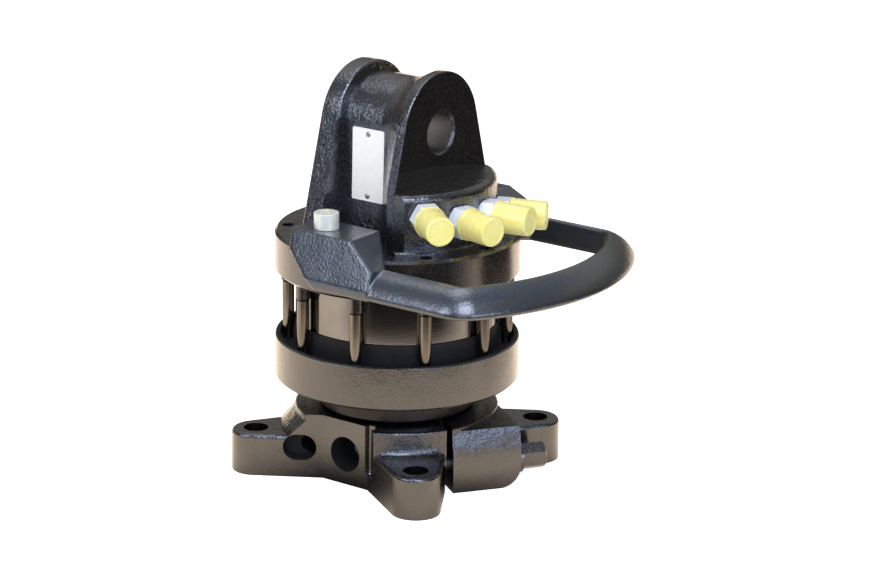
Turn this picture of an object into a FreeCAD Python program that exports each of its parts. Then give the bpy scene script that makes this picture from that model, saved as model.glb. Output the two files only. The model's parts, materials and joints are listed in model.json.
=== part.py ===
# Hydraulic rotator for a crane grapple: a vane motor between a hanging lug and a clamp flange.
# Millimetres. Origin at the centre of the flange's underside, +Z up the swivel axis,
# the pin bore of the lug along Y and the hose ports towards -Y.
import FreeCAD
import Part
import math
import os

Vector = FreeCAD.Vector
UP = Vector(0, 0, 1)

# Clamp flange
flange_bolt_circle = 244.66
flange_hole_d = 21.5
ear_radius = 21.0
ear_height = 36.6
ear_edge_round = 3.5
arm_root_wall = 3.0
hub_height = 57.0
hub_wall = 43.0
hub_edge_round = 2.0
hub_foot_wall = 21.5
hub_skirt_rise = 12.0
side_face_wall = 27.0
side_face_low_y = -70.0
side_face_high_y = 40.0
corner_groove_radius = 5.6
corner_groove_angle = 200.4
corner_groove_bottom = 12.0
hub_root_fillet = 6.0
gusset_reach = 12.8
gusset_rise = 14.5
slit_offset = 19.8
slit_width = 5.5
clamp_angle = -125.0
clamp_block_length = 61.0
clamp_block_height = 53.0
clamp_block_shoulder = 33.0
clamp_block_lean = 6.0
clamp_block_round = 19.0
clamp_boss_d = 27.0
clamp_boss_length = 7.0
clamp_screw_d = 16.0
clamp_screw_wall = 12.0
clamp_screw_height = 18.0
clamp_head_flats = 20.5
clamp_head_length = 21.5
clamp_thread_depth = 34.0
shaft_end_recess = 1.5

# Oil ports in the shaft, reached through the flange
shaft_port_height = 27.0
shaft_port_d = 20.0
shaft_port_depth = 14.0
shaft_port_seat_d = 25.0
first_port_depth = 2.0
second_port_depth = 20.0
access_hole_d = 31.0
second_port_angle = 168.0
second_port_run = 5.0
second_access_d = 20.0
window_height = 23.0
window_width = 29.0
window_depth = 14.0
window_along_arm = 79.0

# Shaft
shaft_d = 90.0
nose_step = 10.0
nut_thread_step = 7.0
shaft_nose_length = 49.0
gallery_d = 9.0
gallery_wall = 10.0
gallery_plug_d = 13.0
gallery_plug_length = 9.0
plug_socket_flats = 5.0
plug_socket_depth = 4.0
oil_groove_depth = 4.0
oil_groove_width = 7.0
swivel_pitch = 14.0
first_swivel_gap = 10.5

# Lower housing
swivel_gap = 1.5
neck_wall = 23.0
neck_height = 23.5
housing_height = 38.0
housing_edge_chamfer = 2.2
rim_edge_chamfer = 1.0
rim_thickness = 4.5
trough_width = 13.0
trough_depth = 8.0
spigot_height = 14.0

# Stator and rotor
stator_height = 43.0
stator_wall = 19.5
cam_lift = 4.5
cam_lobes = 4
rotor_clearance = 0.1
face_clearance = 0.05
vane_count = 10
vane_thickness = 3.4
vane_depth = 12.0
vane_root_relief = 0.6
vane_tip_round = 1.35
slot_clearance = 0.05
key_width = 12.0
key_height = 5.0
key_length = 26.0
key_angle = 18.0
nut_thickness = 9.0
nut_wall = 12.0
nut_room = 1.4
dowel_d = 8.0
dowel_grip = 10.0
dowel_angle = 60.0

# Thrust bearing
roller_count = 16
roller_d = 10.0
roller_length = 9.0
race_thickness = 7.0
race_inner_clearance = 0.6
race_width = 15.4
cage_thickness = 4.0
cage_shaft_gap = 1.5
cage_pocket_gap = 0.15
roller_clearance = 0.05

# Bushes and seals
running_clearance = 0.05
bush_wall = 4.5
lower_bush_length = 22.0
upper_bush_length = 12.0
shaft_seal_width = 11.0
shaft_seal_height = 12.0
shaft_seal_recess = 0.3
shaft_seal_lip = 2.0
swivel_seal_height = 4.0
swivel_seal_depth = 4.0
ring_seal_width = 3.0
ring_seal_depth = 2.0
ring_seal_wall = 3.5

# Head casting
disc_height = 35.0
disc_edge_chamfer = 2.2
screw_boss_d = 12.6
screw_boss_height = 13.0
bore_rise = 90.5
bore_d = 35.0
bore_chamfer = 2.0
lug_length = 89.0
lobe_thickness = 19.0
front_lobe_thickness = 7.5
lobe_radius = 51.5
lobe_taper = 15.5
lobe_edge_round = 2.5
front_lobe_foot = 63.5
web_radius = 43.0
web_taper = 1.0
web_foot_flare = 9.0
web_foot_height = 34.0
web_flat_front = -12.0
drum_margin = 10.0
drum_height = 50.0
drum_edge_round = 6.0
pad_step = 2.5
pad_height = 2.5
pad_half_width = 70.0

# Hose ports: angle of each port and its rise above the disc
port_angles = [-127.0, -105.0, -83.0, -63.0]
port_rises = [31.0, 25.0, 24.0, 18.0]
port_spot_depth = 1.4
port_thread_d = 16.6
port_thread_length = 12.0
spot_face_d = 31.0
adapter_flats = 25.0
adapter_hex_length = 12.0
adapter_stud_d = 18.0
adapter_stud_length = 14.0
adapter_bore_d = 10.0
bonded_seal_d = 24.0
bonded_seal_thickness = 1.6
cap_base_d = 27.5
cap_end_d = 24.5
cap_length = 31.4
cap_edge_chamfer = 1.0
cap_lip = 3.0
cap_wall_gap = 0.1
cap_cavity_depth = 16.0

# Housing screws
screw_count = 10
screw_first_angle = 15.7
screw_shank_d = 10.4
screw_waist_d = 8.8
screw_head_d = 16.0
screw_head_height = 10.0
screw_head_recess = 1.0
screw_socket_flats = 8.0
screw_socket_depth = 4.0
screw_tip_below_top = 7.0
screw_taper_length = 10.0
screw_clearance = 0.3

# Hose guard
guard_height = 23.0
guard_inset = 1.5
guard_width = 25.0
guard_hose_room = 72.5
guard_front_radius = 176.0
guard_corner_radius = 9.0
guard_start = 52.0
guard_disc_gap = 0.3
bracket_height = 20.0
bracket_inner_margin = 22.0
bracket_outer_margin = 18.0
bracket_back = 25.0
bracket_foot_back = -9.0
bracket_front = 37.0
bracket_slope_end = 66.0
guard_screw_d = 14.0
guard_screw_inset = 10.0
guard_screw_shift = 2.0
guard_screw_head_d = 21.0
guard_screw_head_height = 14.0
guard_screw_head_chamfer = 1.0
guard_screw_depth = 24.0
guard_screw_socket_flats = 12.0
guard_screw_socket_depth = 7.0

# Identification plate
plate_width = 33.0
plate_length = 62.0
plate_thickness = 0.8
plate_corner_radius = 1.5
plate_centre_y = -1.5
plate_rise = 33.0
plate_seat_margin = 0.5
plate_seat_depth = 10.0
rivet_d = 4.5
rivet_height = 1.2
rivet_inset = 4.5

# Radii that follow from the sizes above
flange_bolt_radius = flange_bolt_circle / 2
shaft_radius = shaft_d / 2
nose_radius = shaft_radius - nose_step
nut_thread_radius = shaft_radius - nut_thread_step
nut_radius = nut_thread_radius + nut_wall
gallery_circle_radius = nose_radius - gallery_wall
rotor_radius = nut_radius + nut_room + vane_depth
cam_minor_radius = rotor_radius + rotor_clearance
stator_radius = cam_minor_radius + cam_lift + stator_wall
trough_outer_radius = stator_radius + trough_width
body_radius = trough_outer_radius + rim_thickness
arm_root_radius = shaft_radius + arm_root_wall
hub_radius = shaft_radius + hub_wall
hub_foot_radius = shaft_radius + hub_foot_wall
side_face = shaft_radius + side_face_wall
clamp_block_front = hub_radius + 1
clamp_block_end = slit_offset + slit_width / 2 + clamp_block_length
clamp_screw_reach = shaft_radius + clamp_screw_wall + clamp_screw_d / 2
neck_radius = shaft_radius + neck_wall
screw_circle_radius = stator_radius + trough_width / 2
race_outer_radius = shaft_radius + race_inner_clearance + race_width
bearing_circle_radius = race_outer_radius - race_width / 2
ring_seal_radius = cam_minor_radius + cam_lift + ring_seal_wall
dowel_circle_radius = (ring_seal_radius + ring_seal_width + stator_radius) / 2
drum_radius = screw_circle_radius - drum_margin
pad_radius = drum_radius + pad_step
port_seat = drum_radius - port_spot_depth
first_port_seat = shaft_radius - first_port_depth
second_port_seat = shaft_radius - second_port_depth
half_lug = lug_length / 2
guard_inner_half_width = body_radius - guard_inset
guard_inner_reach = body_radius + guard_hose_room
guard_screw_position = body_radius - guard_screw_inset
bracket_inner = guard_screw_position - bracket_inner_margin
bracket_outer = guard_screw_position + bracket_outer_margin

# Heights, stacked up from the flange
neck_bottom = hub_height + swivel_gap
housing_bottom = neck_bottom + neck_height
housing_top = housing_bottom + housing_height
trough_floor = housing_top - trough_depth
stator_bottom = housing_top + spigot_height
stator_top = stator_bottom + stator_height
disc_bottom = stator_top
disc_top = disc_bottom + disc_height
rotor_bottom = stator_bottom + face_clearance
rotor_top = stator_top - face_clearance
nut_bottom = rotor_top - nut_thickness
nose_top = disc_bottom + shaft_nose_length
head_bore_top = nose_top + 2
bearing_middle = rotor_bottom - race_thickness - roller_d / 2 - roller_clearance
lower_race_top = bearing_middle - roller_d / 2 - roller_clearance
lower_race_bottom = lower_race_top - race_thickness
screw_taper_bottom = housing_top + 1
screw_taper_top = screw_taper_bottom + screw_taper_length
bore_height = disc_top + bore_rise
drum_top = disc_top + drum_height
guard_crest = disc_top
guard_bottom = guard_crest - guard_height
bracket_top = disc_top + bracket_height
plate_bottom = disc_top + plate_rise

# Places of what repeats
ports = [(angle, disc_top + rise) for angle, rise in zip(port_angles, port_rises)]
screw_angles = [screw_first_angle + 360.0 / screw_count * i for i in range(screw_count)]
first_oil_groove = disc_bottom + upper_bush_length + first_swivel_gap
oil_groove_heights = [first_oil_groove + swivel_pitch * i for i in range(2)]
swivel_seal_heights = [oil_groove_heights[0] + swivel_pitch * (i - 0.5) for i in range(3)]


def polar(radius, angle, z=0.0):
    a = math.radians(angle)
    return Vector(radius * math.cos(a), radius * math.sin(a), z)


# Where the left arm's side plane looks, and where the oblique port's axis runs through its window
arm_lean = math.degrees(math.asin((arm_root_radius - ear_radius) / flange_bolt_radius))
window_facing = 225 - arm_lean
window_centre = (polar(arm_root_radius, window_facing)
                 + polar(window_along_arm, window_facing - 90))
second_port_offset = window_centre.dot(polar(1, second_port_angle - 90))
port_face_meeting = math.radians(45 - arm_lean)
port_face_half_width = ((side_face * math.cos(port_face_meeting) - arm_root_radius)
                        / math.sin(port_face_meeting))


def cylinder(radius, z0, z1, x=0.0, y=0.0):
    return Part.makeCylinder(radius, z1 - z0, Vector(x, y, z0), UP)


def cylinder_at(radius, z0, z1, place):
    return cylinder(radius, z0, z1, place.x, place.y)


def ring(outer, inner, z0, z1):
    return cylinder(outer, z0, z1).cut(cylinder(inner, z0 - 1, z1 + 1))


def cone(r0, r1, z0, z1):
    return Part.makeCone(r0, r1, z1 - z0, Vector(0, 0, z0), UP)


def box(x0, x1, y0, y1, z0, z1):
    return Part.makeBox(x1 - x0, y1 - y0, z1 - z0, Vector(x0, y0, z0))


def turned(shape, angle, axis=UP, centre=Vector(0, 0, 0)):
    copy = shape.copy()
    copy.rotate(centre, axis, angle)
    return copy


def moved(shape, offset):
    copy = shape.copy()
    copy.translate(offset)
    return copy


def radial(shape, angle, height, distance=0.0):
    """Lay a shape built along +Z on the radial line at an angle, starting at a distance."""
    laid = turned(shape, 90, Vector(0, 1, 0))
    laid.translate(Vector(distance, 0, height))
    return turned(laid, angle)


def hexagon(flats, z0, z1):
    corner = flats / math.sqrt(3)
    points = [polar(corner, 60 * i + 30, z0) for i in range(7)]
    return Part.Face(Part.makePolygon(points)).extrude(Vector(0, 0, z1 - z0))


def fuse_all(shapes):
    return shapes[0].multiFuse(shapes[1:]).removeSplitter()


def cut_all(shape, tools):
    return shape.cut(Part.makeCompound(tools)) if tools else shape


def fillet_where(shape, radius, test):
    edges = [e for e in shape.Edges if test(e)]
    return shape.makeFillet(radius, edges)


def at_height(edge, z):
    box_ = edge.BoundBox
    return abs(box_.ZMin - z) < 1e-3 and abs(box_.ZMax - z) < 1e-3


def arm_plan(tip_distance, tip_radius, root_radius):
    """Outline of one flange arm along +X: an end arc and two tangent sides that widen to the hub."""
    slope = math.asin((root_radius - tip_radius) / tip_distance)
    side = Vector(math.sin(slope), math.cos(slope), 0)
    mirror = Vector(side.x, -side.y, 0)
    tip = Vector(tip_distance, 0, 0)
    a0, a1 = side * root_radius, tip + side * tip_radius
    b0, b1 = mirror * root_radius, tip + mirror * tip_radius
    end = Part.Arc(a1, tip + Vector(tip_radius, 0, 0), b1).toShape()
    back = Part.Arc(b0, Vector(-root_radius, 0, 0), a0).toShape()
    edges = [Part.makeLine(a0, a1), end, Part.makeLine(b1, b0), back]
    return Part.Face(Part.Wire(edges))


def flange_arm():
    arm = arm_plan(flange_bolt_radius, ear_radius, arm_root_radius).extrude(UP * ear_height)
    return fillet_where(arm, ear_edge_round, lambda e: at_height(e, ear_height))


def clamp_block():
    """Block beside the slit, built along +X with the screw axis along +Y."""
    v0 = slit_offset - slit_width / 2
    block = box(0, clamp_block_front, v0, clamp_block_end, 0, clamp_block_height)
    block = fillet_where(
        block, clamp_block_round,
        lambda e: e.BoundBox.YMin > clamp_block_end - 1e-3 and at_height(e, 0))
    front = clamp_block_front
    slope = [Vector(front, -1, clamp_block_shoulder), Vector(front + 1, -1, clamp_block_shoulder),
             Vector(front + 1, -1, clamp_block_height + 1),
             Vector(front - clamp_block_lean, -1, clamp_block_height + 1)]
    wedge = Part.Face(Part.makePolygon(slope + slope[:1]))
    block = block.cut(wedge.extrude(Vector(0, clamp_block_end + 2, 0)))
    boss = cylinder(clamp_boss_d / 2, -clamp_boss_d / 2, clamp_boss_length)
    return block.fuse(along_y(boss, clamp_screw_reach, clamp_block_end, clamp_screw_height))


def side_flat():
    """What the milled port face takes off the hub, between the left arm and the corner groove."""
    face = box(-side_face - hub_radius, -side_face, side_face_low_y, side_face_high_y,
               -1, hub_height + 1)
    arm = arm_plan(flange_bolt_radius, ear_radius, arm_root_radius).extrude(UP * hub_height)
    return face.cut(Part.makeCompound([turned(arm, a) for a in (135, 225)]))


def hub_root():
    """Hollow fillet between the hub's wall and the top of one arm."""
    r = hub_root_fillet
    wall = hub_radius
    top = ear_height
    low, high = Vector(wall + r, 0, top), Vector(wall, 0, top + r)
    inset = r * (1 - math.sqrt(0.5))
    middle = Vector(wall + inset, 0, top + inset)
    back = [high, Vector(wall - 1, 0, top + r), Vector(wall - 1, 0, top - 1),
            Vector(wall + r, 0, top - 1), low]
    lines = [Part.makeLine(a, b) for a, b in zip(back, back[1:])]
    hollow = Part.Arc(low, middle, high).toShape()
    foot = Part.Face(Part.Wire([hollow] + lines)).revolve(Vector(0, 0, 0), UP, 360)
    margin = 1.5 * ear_edge_round
    plan = arm_plan(flange_bolt_radius, ear_radius - margin, arm_root_radius - margin)
    return foot.common(plan.extrude(UP * hub_height))


def window_gusset():
    """Sloped casting from the hub's wall down to the top of the left arm, flush with its sides."""
    overlap = gusset_reach / 4
    top = ear_height + gusset_rise * (gusset_reach + overlap) / gusset_reach
    slope = cone(hub_radius + gusset_reach, hub_radius - overlap, ear_height, top)
    foot = cylinder(hub_radius + gusset_reach, ear_height - 2 * ear_edge_round, ear_height)
    ring = slope.fuse(foot).cut(cylinder(hub_radius - 2 * overlap, 0, hub_height))
    plan = arm_plan(flange_bolt_radius, ear_radius, arm_root_radius)
    return ring.common(plan.extrude(UP * hub_height))


def corner_groove():
    """Upright groove between the port face and the clamp block, closed and round at its foot."""
    at = polar(side_face + corner_groove_radius, corner_groove_angle)
    foot = corner_groove_bottom + corner_groove_radius
    shaft = cylinder_at(corner_groove_radius, foot, hub_height + 1, at)
    return shaft.fuse(Part.makeSphere(corner_groove_radius, at + UP * foot))


def clamp_flange():
    arm = flange_arm().fuse(hub_root())
    arms = [turned(arm, 45 + 90 * i) for i in (0, 2, 3)]
    arms.append(turned(flange_arm().fuse(window_gusset()).removeSplitter(), 135))
    foot = cylinder(hub_foot_radius, 0, ear_height)
    skirt_top = ear_height - hub_skirt_rise
    skirt = cone(hub_foot_radius, hub_radius, skirt_top - hub_skirt_rise, skirt_top)
    hub = cylinder(hub_radius, skirt_top, hub_height)
    hub = fillet_where(hub, hub_edge_round, lambda e: at_height(e, hub_height))
    body = fuse_all(arms + [foot, skirt, hub]).cut(side_flat())
    port_wall = box(-side_face, 0, -port_face_half_width, port_face_half_width, 0, ear_height)
    body = body.multiFuse([port_wall, turned(clamp_block(), clamp_angle)]).removeSplitter()
    tools = [cylinder(shaft_radius + running_clearance / 2, -1, hub_height + 1)]
    slit = box(0, 2 * hub_radius, slit_offset - slit_width / 2, slit_offset + slit_width / 2,
               -1, hub_height + 1)
    tools.append(turned(slit, clamp_angle))
    for i in range(4):
        tools.append(cylinder_at(flange_hole_d / 2, -1, ear_height + 1,
                                 polar(flange_bolt_radius, 45 + 90 * i)))
    tools.append(corner_groove())
    tools.append(radial(cylinder(access_hole_d / 2, 0, 2 * hub_radius), 180, shaft_port_height))
    tools.append(on_second_port(cylinder(second_access_d / 2, 0, flange_bolt_radius)))
    tools.append(window_slot())
    tools.append(turned(clamp_screw_hole(), clamp_angle))
    return cut_all(body, tools)


def on_second_port(shape):
    """Lay a shape built along +Z on the axis of the oblique second port."""
    laid = turned(shape, 90, Vector(0, 1, 0))
    laid.translate(Vector(0, -second_port_offset, shaft_port_height))
    return turned(laid, second_port_angle)


def window_slot():
    """Rounded window sunk square into the side of the left arm, where the second port opens."""
    r = window_height / 2
    half = window_width / 2 - r
    z0, z1 = arm_root_radius - window_depth, arm_root_radius + 2 * window_depth
    ends = [cylinder(r, z0, z1, 0, y - window_along_arm) for y in (-half, half)]
    middle = box(-r, r, -half - window_along_arm, half - window_along_arm, z0, z1)
    slot = ends[0].fuse(ends[1]).fuse(middle)
    return radial(slot, window_facing, shaft_port_height)


def along_y(shape, x, y, z):
    """Lay a shape built along +Z along +Y, starting at a point."""
    return moved(turned(shape, -90, Vector(1, 0, 0)), Vector(x, y, z))


def clamp_screw_hole():
    start = slit_offset - slit_width / 2 - clamp_thread_depth
    end = clamp_block_end + clamp_boss_length
    bore = cylinder(clamp_screw_d / 2 + running_clearance / 2, 0, end - start + 1)
    return along_y(bore, clamp_screw_reach, start, clamp_screw_height)


def clamp_screw():
    start = slit_offset - slit_width / 2 - clamp_thread_depth + 2
    length = clamp_block_end + clamp_boss_length - start
    corner = clamp_head_flats / math.sqrt(3)
    head = hexagon(clamp_head_flats, length, length + clamp_head_length)
    bevel = cone(corner + clamp_head_length - 2, corner - 2, length, length + clamp_head_length)
    shank = cylinder(clamp_screw_d / 2, 0, length)
    screw = shank.fuse(head.common(bevel))
    return turned(along_y(screw, clamp_screw_reach, start, clamp_screw_height), clamp_angle)


def gallery_places():
    """Centres of the two long oil drillings: one behind each side port."""
    second = Vector(second_port_run, -second_port_offset, 0)
    turn = FreeCAD.Rotation(UP, second_port_angle)
    return [polar(gallery_circle_radius, 180), turn.multVec(second)]


def shaft_ports():
    tools = []
    for at, groove_z in zip(gallery_places(), oil_groove_heights):
        tools.append(cylinder_at(gallery_d / 2, shaft_end_recess - 1, groove_z, at))
        tools.append(cylinder_at(gallery_plug_d / 2, shaft_end_recess - 1,
                                 shaft_end_recess + gallery_plug_length, at))
        cross = cylinder(gallery_d / 2 - 1, at.Length, nose_radius)
        tools.append(radial(cross, math.degrees(math.atan2(at.y, at.x)), groove_z))
    tools.append(radial(side_port(first_port_seat, gallery_circle_radius), 180,
                        shaft_port_height))
    tools.append(on_second_port(side_port(second_port_seat, second_port_run)))
    return tools


def side_port(seat, feed_end):
    """Port built along +Z: a flat seat, a threaded bore and a drilling on to the gallery."""
    pocket = cylinder(shaft_port_seat_d / 2, seat, shaft_radius + 2)
    bore = cylinder(shaft_port_d / 2, seat - shaft_port_depth, seat + 1)
    return pocket.fuse(bore).fuse(cylinder(gallery_d / 2, feed_end, seat))


def rotor_shaft():
    body = cylinder(shaft_radius, shaft_end_recess, nut_bottom)
    thread = cylinder(nut_thread_radius, nut_bottom, rotor_top)
    nose = cylinder(nose_radius, rotor_top, nose_top)
    shaft = fuse_all([body, thread, nose])
    shaft = shaft.makeChamfer(1.5, [e for e in shaft.Edges
                                    if at_height(e, nose_top) or at_height(e, shaft_end_recess)])
    for z in oil_groove_heights:
        shaft = shaft.cut(ring(nose_radius + 1, nose_radius - oil_groove_depth,
                               z - oil_groove_width / 2, z + oil_groove_width / 2))
    keyways = [key(i, running_clearance / 2) for i in range(2)]
    return cut_all(shaft, shaft_ports() + keyways)


def gallery_plugs():
    plugs = []
    for at in gallery_places():
        plug = cylinder_at(gallery_plug_d / 2, shaft_end_recess,
                           shaft_end_recess + gallery_plug_length, at)
        socket = moved(hexagon(plug_socket_flats, shaft_end_recess - 1,
                               shaft_end_recess + plug_socket_depth), at)
        plugs.append(plug.cut(socket))
    return Part.makeCompound(plugs)


def key(index, gap=0.0):
    middle = (rotor_bottom + nut_bottom) / 2
    half = key_length / 2 + gap
    side = key_width / 2 + gap
    block = box(shaft_radius - key_height - gap, shaft_radius + key_height + gap, -side, side,
                middle - half, middle + half)
    return turned(block, key_angle + 180 * index)


def rotor_keys():
    return Part.makeCompound([key(0), key(1)])


def vane_rotor():
    rotor = ring(rotor_radius, shaft_radius + running_clearance / 2, rotor_bottom, rotor_top)
    recess = cylinder(nut_radius + nut_room / 2, nut_bottom, rotor_top + 1)
    tools = [recess]
    for i in range(2):
        slot = key(i, running_clearance / 2)
        slot_up = slot.fuse(moved(slot, Vector(0, 0, key_length)))
        tools.append(slot_up)
    half = vane_thickness / 2 + slot_clearance
    for i in range(vane_count):
        bottom = rotor_radius - vane_depth - nut_room / 2
        slot = box(bottom, rotor_radius + 1, -half, half, rotor_bottom - 1, rotor_top + 1)
        root = cylinder(half + vane_root_relief, rotor_bottom - 1, rotor_top + 1, bottom, 0)
        tools.append(turned(slot.fuse(root), 360.0 / vane_count * i))
    return cut_all(rotor, tools)


def vane():
    half = vane_thickness / 2
    inner = rotor_radius - vane_depth
    blade = box(inner, rotor_radius, -half, half, rotor_bottom, rotor_top)
    return fillet_where(
        blade, vane_tip_round,
        lambda e: e.BoundBox.XMin > rotor_radius - 1e-3 and e.BoundBox.ZLength > 1)


def vanes():
    return Part.makeCompound([turned(vane(), 360.0 / vane_count * i) for i in range(vane_count)])


def shaft_nut():
    nut = ring(nut_radius, nut_thread_radius + running_clearance / 2, nut_bottom, rotor_top)
    slot_half = nut_wall / 3
    slots = [turned(box(nut_radius - slot_half, nut_radius + 1, -slot_half, slot_half,
                        nut_bottom - 1, rotor_top + 1), 90 * i) for i in range(4)]
    return cut_all(nut, slots)


def race(z0, z1, inner):
    return ring(race_outer_radius, inner, z0, z1)


def bearing_race_upper():
    return race(rotor_bottom - race_thickness, rotor_bottom, shaft_radius + running_clearance / 2)


def bearing_race_lower():
    return race(lower_race_bottom, lower_race_top, shaft_radius + race_inner_clearance)


def roller(radius=roller_d / 2, length=roller_length):
    start = bearing_circle_radius - length / 2
    return radial(cylinder(radius, start, start + length), 0, bearing_middle)


def bearing_rollers():
    return Part.makeCompound([turned(roller(), 360.0 / roller_count * i)
                              for i in range(roller_count)])


def bearing_cage():
    half = cage_thickness / 2
    cage = ring(race_outer_radius - 1, shaft_radius + cage_shaft_gap, bearing_middle - half,
                bearing_middle + half)
    reach = roller_length / 2 + cage_pocket_gap
    side = roller_d / 2 + cage_pocket_gap
    pocket = box(bearing_circle_radius - reach, bearing_circle_radius + reach, -side, side,
                 bearing_middle - half - 1, bearing_middle + half + 1)
    return cut_all(cage, [turned(pocket, 360.0 / roller_count * i) for i in range(roller_count)])


def cam_outline():
    """Closed curve of the stator's inner wall: the vanes follow its lobes."""
    count = 8 * cam_lobes
    points = []
    for i in range(count):
        angle = 360.0 * i / count
        lift = cam_lift / 2 * (1 - math.cos(math.radians(cam_lobes * angle)))
        points.append(polar(cam_minor_radius + lift, angle, stator_bottom - 1))
    curve = Part.BSplineCurve()
    curve.interpolate(Points=points, PeriodicFlag=True)
    return Part.Face(Part.Wire(curve.toShape()))


def stator_ring():
    stator = cylinder(stator_radius, stator_bottom, stator_top)
    stator = stator.makeChamfer(0.8, [e for e in stator.Edges
                                      if at_height(e, stator_top) or at_height(e, stator_bottom)])
    chamber = cam_outline().extrude(UP * (stator_height + 2))
    return cut_all(stator.cut(chamber), dowel_holes())


def dowel_places():
    return [polar(dowel_circle_radius, dowel_angle + 180 * i) for i in range(2)]


def dowel_holes():
    return [cylinder_at(dowel_d / 2 + running_clearance / 2, stator_bottom - dowel_grip,
                        stator_top + dowel_grip, p) for p in dowel_places()]


def stator_dowels():
    return Part.makeCompound([cylinder_at(dowel_d / 2, stator_bottom - dowel_grip,
                                          stator_top + dowel_grip, p) for p in dowel_places()])


def ring_seal_groove(z0, z1):
    return ring(ring_seal_radius + ring_seal_width, ring_seal_radius, z0, z1)


def stator_seals():
    lower = ring_seal_groove(stator_bottom - ring_seal_depth, stator_bottom)
    upper = ring_seal_groove(stator_top, stator_top + ring_seal_depth)
    return Part.makeCompound([lower, upper])


def lower_housing():
    neck = cylinder(neck_radius, neck_bottom, housing_bottom)
    neck = neck.makeChamfer(2, [e for e in neck.Edges if at_height(e, neck_bottom)])
    drum = cylinder(body_radius, housing_bottom, housing_top)
    drum = drum.makeChamfer(housing_edge_chamfer, [e for e in drum.Edges
                                                   if at_height(e, housing_bottom)])
    drum = drum.makeChamfer(rim_edge_chamfer, [e for e in drum.Edges
                                               if at_height(e, housing_top)])
    trough = ring(trough_outer_radius, stator_radius, trough_floor, housing_top + 1)
    spigot = cylinder(stator_radius, housing_bottom + 1, stator_bottom)
    body = fuse_all([neck, drum.cut(trough), spigot])
    tools = [cylinder(shaft_radius + race_inner_clearance, neck_bottom - 1, stator_bottom + 1),
             cylinder(race_outer_radius + running_clearance / 2, lower_race_bottom,
                      stator_bottom + 1),
             lower_bush_seat(), shaft_seal_seat(),
             ring_seal_groove(stator_bottom - ring_seal_depth, stator_bottom + 1)]
    body = cut_all(body, tools)
    return cut_all(body, dowel_holes() + screw_passages())


def lower_bush_span():
    z1 = lower_race_bottom - 1
    return z1 - lower_bush_length, z1


def lower_bush_seat():
    z0, z1 = lower_bush_span()
    return cylinder(shaft_radius + bush_wall, z0, z1 + 1)


def shaft_bush_lower():
    z0, z1 = lower_bush_span()
    return ring(shaft_radius + bush_wall, shaft_radius + running_clearance, z0, z1)


def shaft_seal_seat():
    return cylinder(shaft_radius + shaft_seal_width, neck_bottom - 1,
                    neck_bottom + shaft_seal_height)


def shaft_seal():
    outer = shaft_radius + shaft_seal_width
    inner = shaft_radius + running_clearance
    z0 = neck_bottom + shaft_seal_recess
    z1 = neck_bottom + shaft_seal_height
    lip = shaft_seal_lip
    outline = [Vector(outer, 0, z0), Vector(outer, 0, z1), Vector(outer - lip, 0, z1),
               Vector(outer - lip, 0, z0 + lip), Vector(inner + 2 * lip, 0, z0 + lip),
               Vector(inner + lip, 0, z1 - 1), Vector(inner, 0, z0 + 2 * lip),
               Vector(inner + lip, 0, z0)]
    face = Part.Face(Part.makePolygon(outline + outline[:1]))
    return face.revolve(Vector(0, 0, 0), UP, 360)


def screw_passages():
    z_head = housing_bottom + screw_head_recess + screw_head_height
    tools = []
    for angle in screw_angles:
        at = polar(screw_circle_radius, angle)
        tools.append(cylinder_at(screw_head_d / 2 + screw_clearance, housing_bottom - 1, z_head, at))
        tools.append(cylinder_at(screw_waist_d / 2 + screw_clearance, z_head - 1,
                                 housing_top + 1, at))
    return tools


def housing_screw():
    z_head = housing_bottom + screw_head_recess
    z_shank = z_head + screw_head_height
    tip = disc_top - screw_tip_below_top
    socket = hexagon(screw_socket_flats, z_head - 1, z_head + screw_socket_depth)
    head = cylinder(screw_head_d / 2, z_head, z_shank).cut(socket)
    waist = cylinder(screw_waist_d / 2, z_shank - 1, screw_taper_bottom)
    taper = cone(screw_waist_d / 2, screw_shank_d / 2, screw_taper_bottom, screw_taper_top)
    shank = cylinder(screw_shank_d / 2, screw_taper_top, tip)
    return fuse_all([head, waist, taper, shank])


def housing_screws():
    screw = housing_screw()
    return Part.makeCompound([moved(screw, polar(screw_circle_radius, a)) for a in screw_angles])


def lug_outline(radius, foot, base, y, taper, shoulder):
    """Lug outline in the plane at y: a round top, tapered sides and an upright foot."""
    t = math.radians(taper)
    top_x = radius * math.cos(t)
    top_z = bore_height + radius * math.sin(t)
    shoulder_x = top_x + (top_z - shoulder) * math.tan(t)
    right = [Vector(foot, y, base), Vector(shoulder_x, y, shoulder), Vector(top_x, y, top_z)]
    left = [Vector(-p.x, y, p.z) for p in right]
    crown = Part.Arc(right[2], Vector(0, y, bore_height + radius), left[2]).toShape()
    edges = [Part.makeLine(left[0], right[0]), Part.makeLine(right[0], right[1]),
             Part.makeLine(right[1], right[2]), crown,
             Part.makeLine(left[2], left[1]), Part.makeLine(left[1], left[0])]
    return Part.Wire(edges)


def plate_between(outline_at, y0, y1):
    return Part.Face(outline_at(y0)).extrude(Vector(0, y1 - y0, 0))


def front_outline(y):
    return lug_outline(lobe_radius, front_lobe_foot, disc_top - 1, y, lobe_taper, drum_top)


def back_outline(y):
    t = math.radians(lobe_taper)
    foot = lobe_radius / math.cos(t) + (bore_height - disc_top + 1) * math.tan(t)
    return lug_outline(lobe_radius, foot, disc_top - 1, y, lobe_taper, drum_top)


def web_outline(y):
    return lug_outline(web_radius, web_radius + web_foot_flare, disc_top - 1, y, web_taper,
                       disc_top + web_foot_height)


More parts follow.
